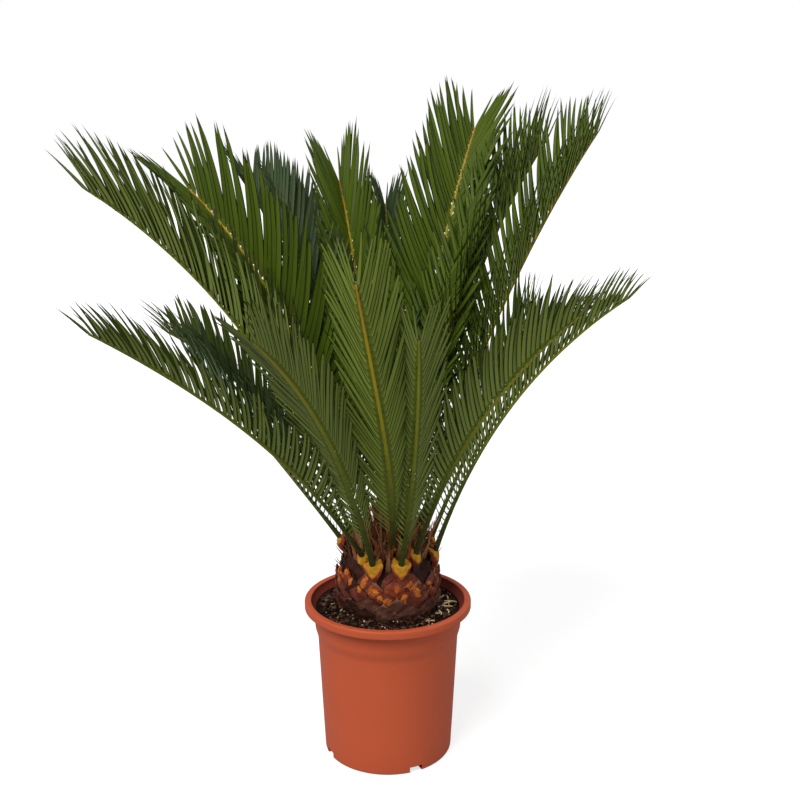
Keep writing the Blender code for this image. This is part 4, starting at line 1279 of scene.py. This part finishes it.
# %% [markdown]
# ## Floor, light and camera
#
# The plant stands on a plain pale floor, in the soft light of a white studio. The floor and
# the surround look white to the camera and pass on less light than that, so the inside of the
# crown stays dark. A Light Path node tells the two apart. Three broad suns light the plant:
# the strongest from the left, in front and above, and two weak ones from the right and from
# behind. The camera looks down on the pot a little.

# %% Studio
WHITE = (1.0, 1.0, 1.0, 1.0)
FLOOR_SIZE, FLOOR_PAINT, FLOOR_GLOW = 60.0, (0.40, 0.40, 0.40), 0.70
SURROUND_SEEN, SURROUND_LIGHT = 1.0, 0.22
# Each sun's compass direction, height above the horizon, strength and spread, in degrees.
SUNS = {"key sun": (232, 48, 3.3, 36), "side sun": (320, 30, 0.7, 60), "back sun": (60, 50, 0.8, 60)}
SUN_DISTANCE = 3
CAMERA_PLACE = (0.0173, -1.37, 0.8155)
CAMERA_TILT = math.radians(77.0)
LENS_LENGTH, SENSOR_WIDTH, LENS_SHIFT = 46.4, 36.0, 0.0125


def show_and_light(tree, lighting, seen, end):
    """Send one shader to the camera, and light everything else by another."""
    path = new_node(tree, "LightPath")
    mixed = new_node(tree, "MixShader")
    join(tree, (path.outputs["Is Camera Ray"], mixed.inputs["Fac"]), (lighting.outputs[0], mixed.inputs[1]),
         (seen.outputs[0], mixed.inputs[2]), (mixed.outputs[0], tree.nodes[end].inputs["Surface"]))


def make_floor():
    bpy.ops.mesh.primitive_plane_add(size=FLOOR_SIZE, location=(0.0, 0.0, 0.0))
    floor = bpy.context.object
    floor.name = "studio_floor"
    paint, seen = plain_material("studio floor paint", FLOOR_PAINT, 0.9, 0.0)
    seen.inputs["Emission Color"].default_value = WHITE
    seen.inputs["Emission Strength"].default_value = FLOOR_GLOW
    bounce = new_node(paint.node_tree, "BsdfPrincipled",
                      {"Base Color": (*FLOOR_PAINT, 1.0), "Roughness": 0.9})
    show_and_light(paint.node_tree, bounce, seen, "Material Output")
    floor.data.materials.append(paint)


def make_sun(name, direction, elevation, strength, spread):
    """A soft sun that shines from a compass direction and a height above the horizon."""
    light = bpy.data.lights.new(name, "SUN")
    light.energy = strength
    light.angle = math.radians(spread)
    sun = bpy.data.objects.new(name, light)
    turn, lift = math.radians(direction), math.radians(elevation)
    place = Vector((math.cos(lift) * math.cos(turn), math.cos(lift) * math.sin(turn), math.sin(lift)))
    place *= SUN_DISTANCE
    sun.location = place
    sun.rotation_euler = (-place).to_track_quat("-Z", "Y").to_euler()
    bpy.context.scene.collection.objects.link(sun)


def make_world():
    """White to the eye, dimmer as a light."""
    world = bpy.data.worlds.new("studio surround")
    world.use_nodes = True
    lighting = world.node_tree.nodes["Background"]
    seen = new_node(world.node_tree, "Background")
    for backdrop, strength in ((lighting, SURROUND_LIGHT), (seen, SURROUND_SEEN)):
        backdrop.inputs["Color"].default_value = WHITE
        backdrop.inputs["Strength"].default_value = strength
    show_and_light(world.node_tree, lighting, seen, "World Output")
    bpy.context.scene.world = world


def make_camera():
    lens = bpy.data.cameras.new("camera")
    lens.lens = LENS_LENGTH
    lens.sensor_width = SENSOR_WIDTH
    lens.shift_y = LENS_SHIFT
    camera = bpy.data.objects.new("camera", lens)
    camera.location = CAMERA_PLACE
    camera.rotation_euler = (CAMERA_TILT, 0.0, 0.0)
    bpy.context.scene.collection.objects.link(camera)
    bpy.context.scene.camera = camera


make_floor()
make_world()
for name, sun in SUNS.items():
    make_sun(name, *sun)
make_camera()
bpy.context.scene.view_settings.view_transform = "Standard"
print("studio ready:", len(SUNS), "suns")
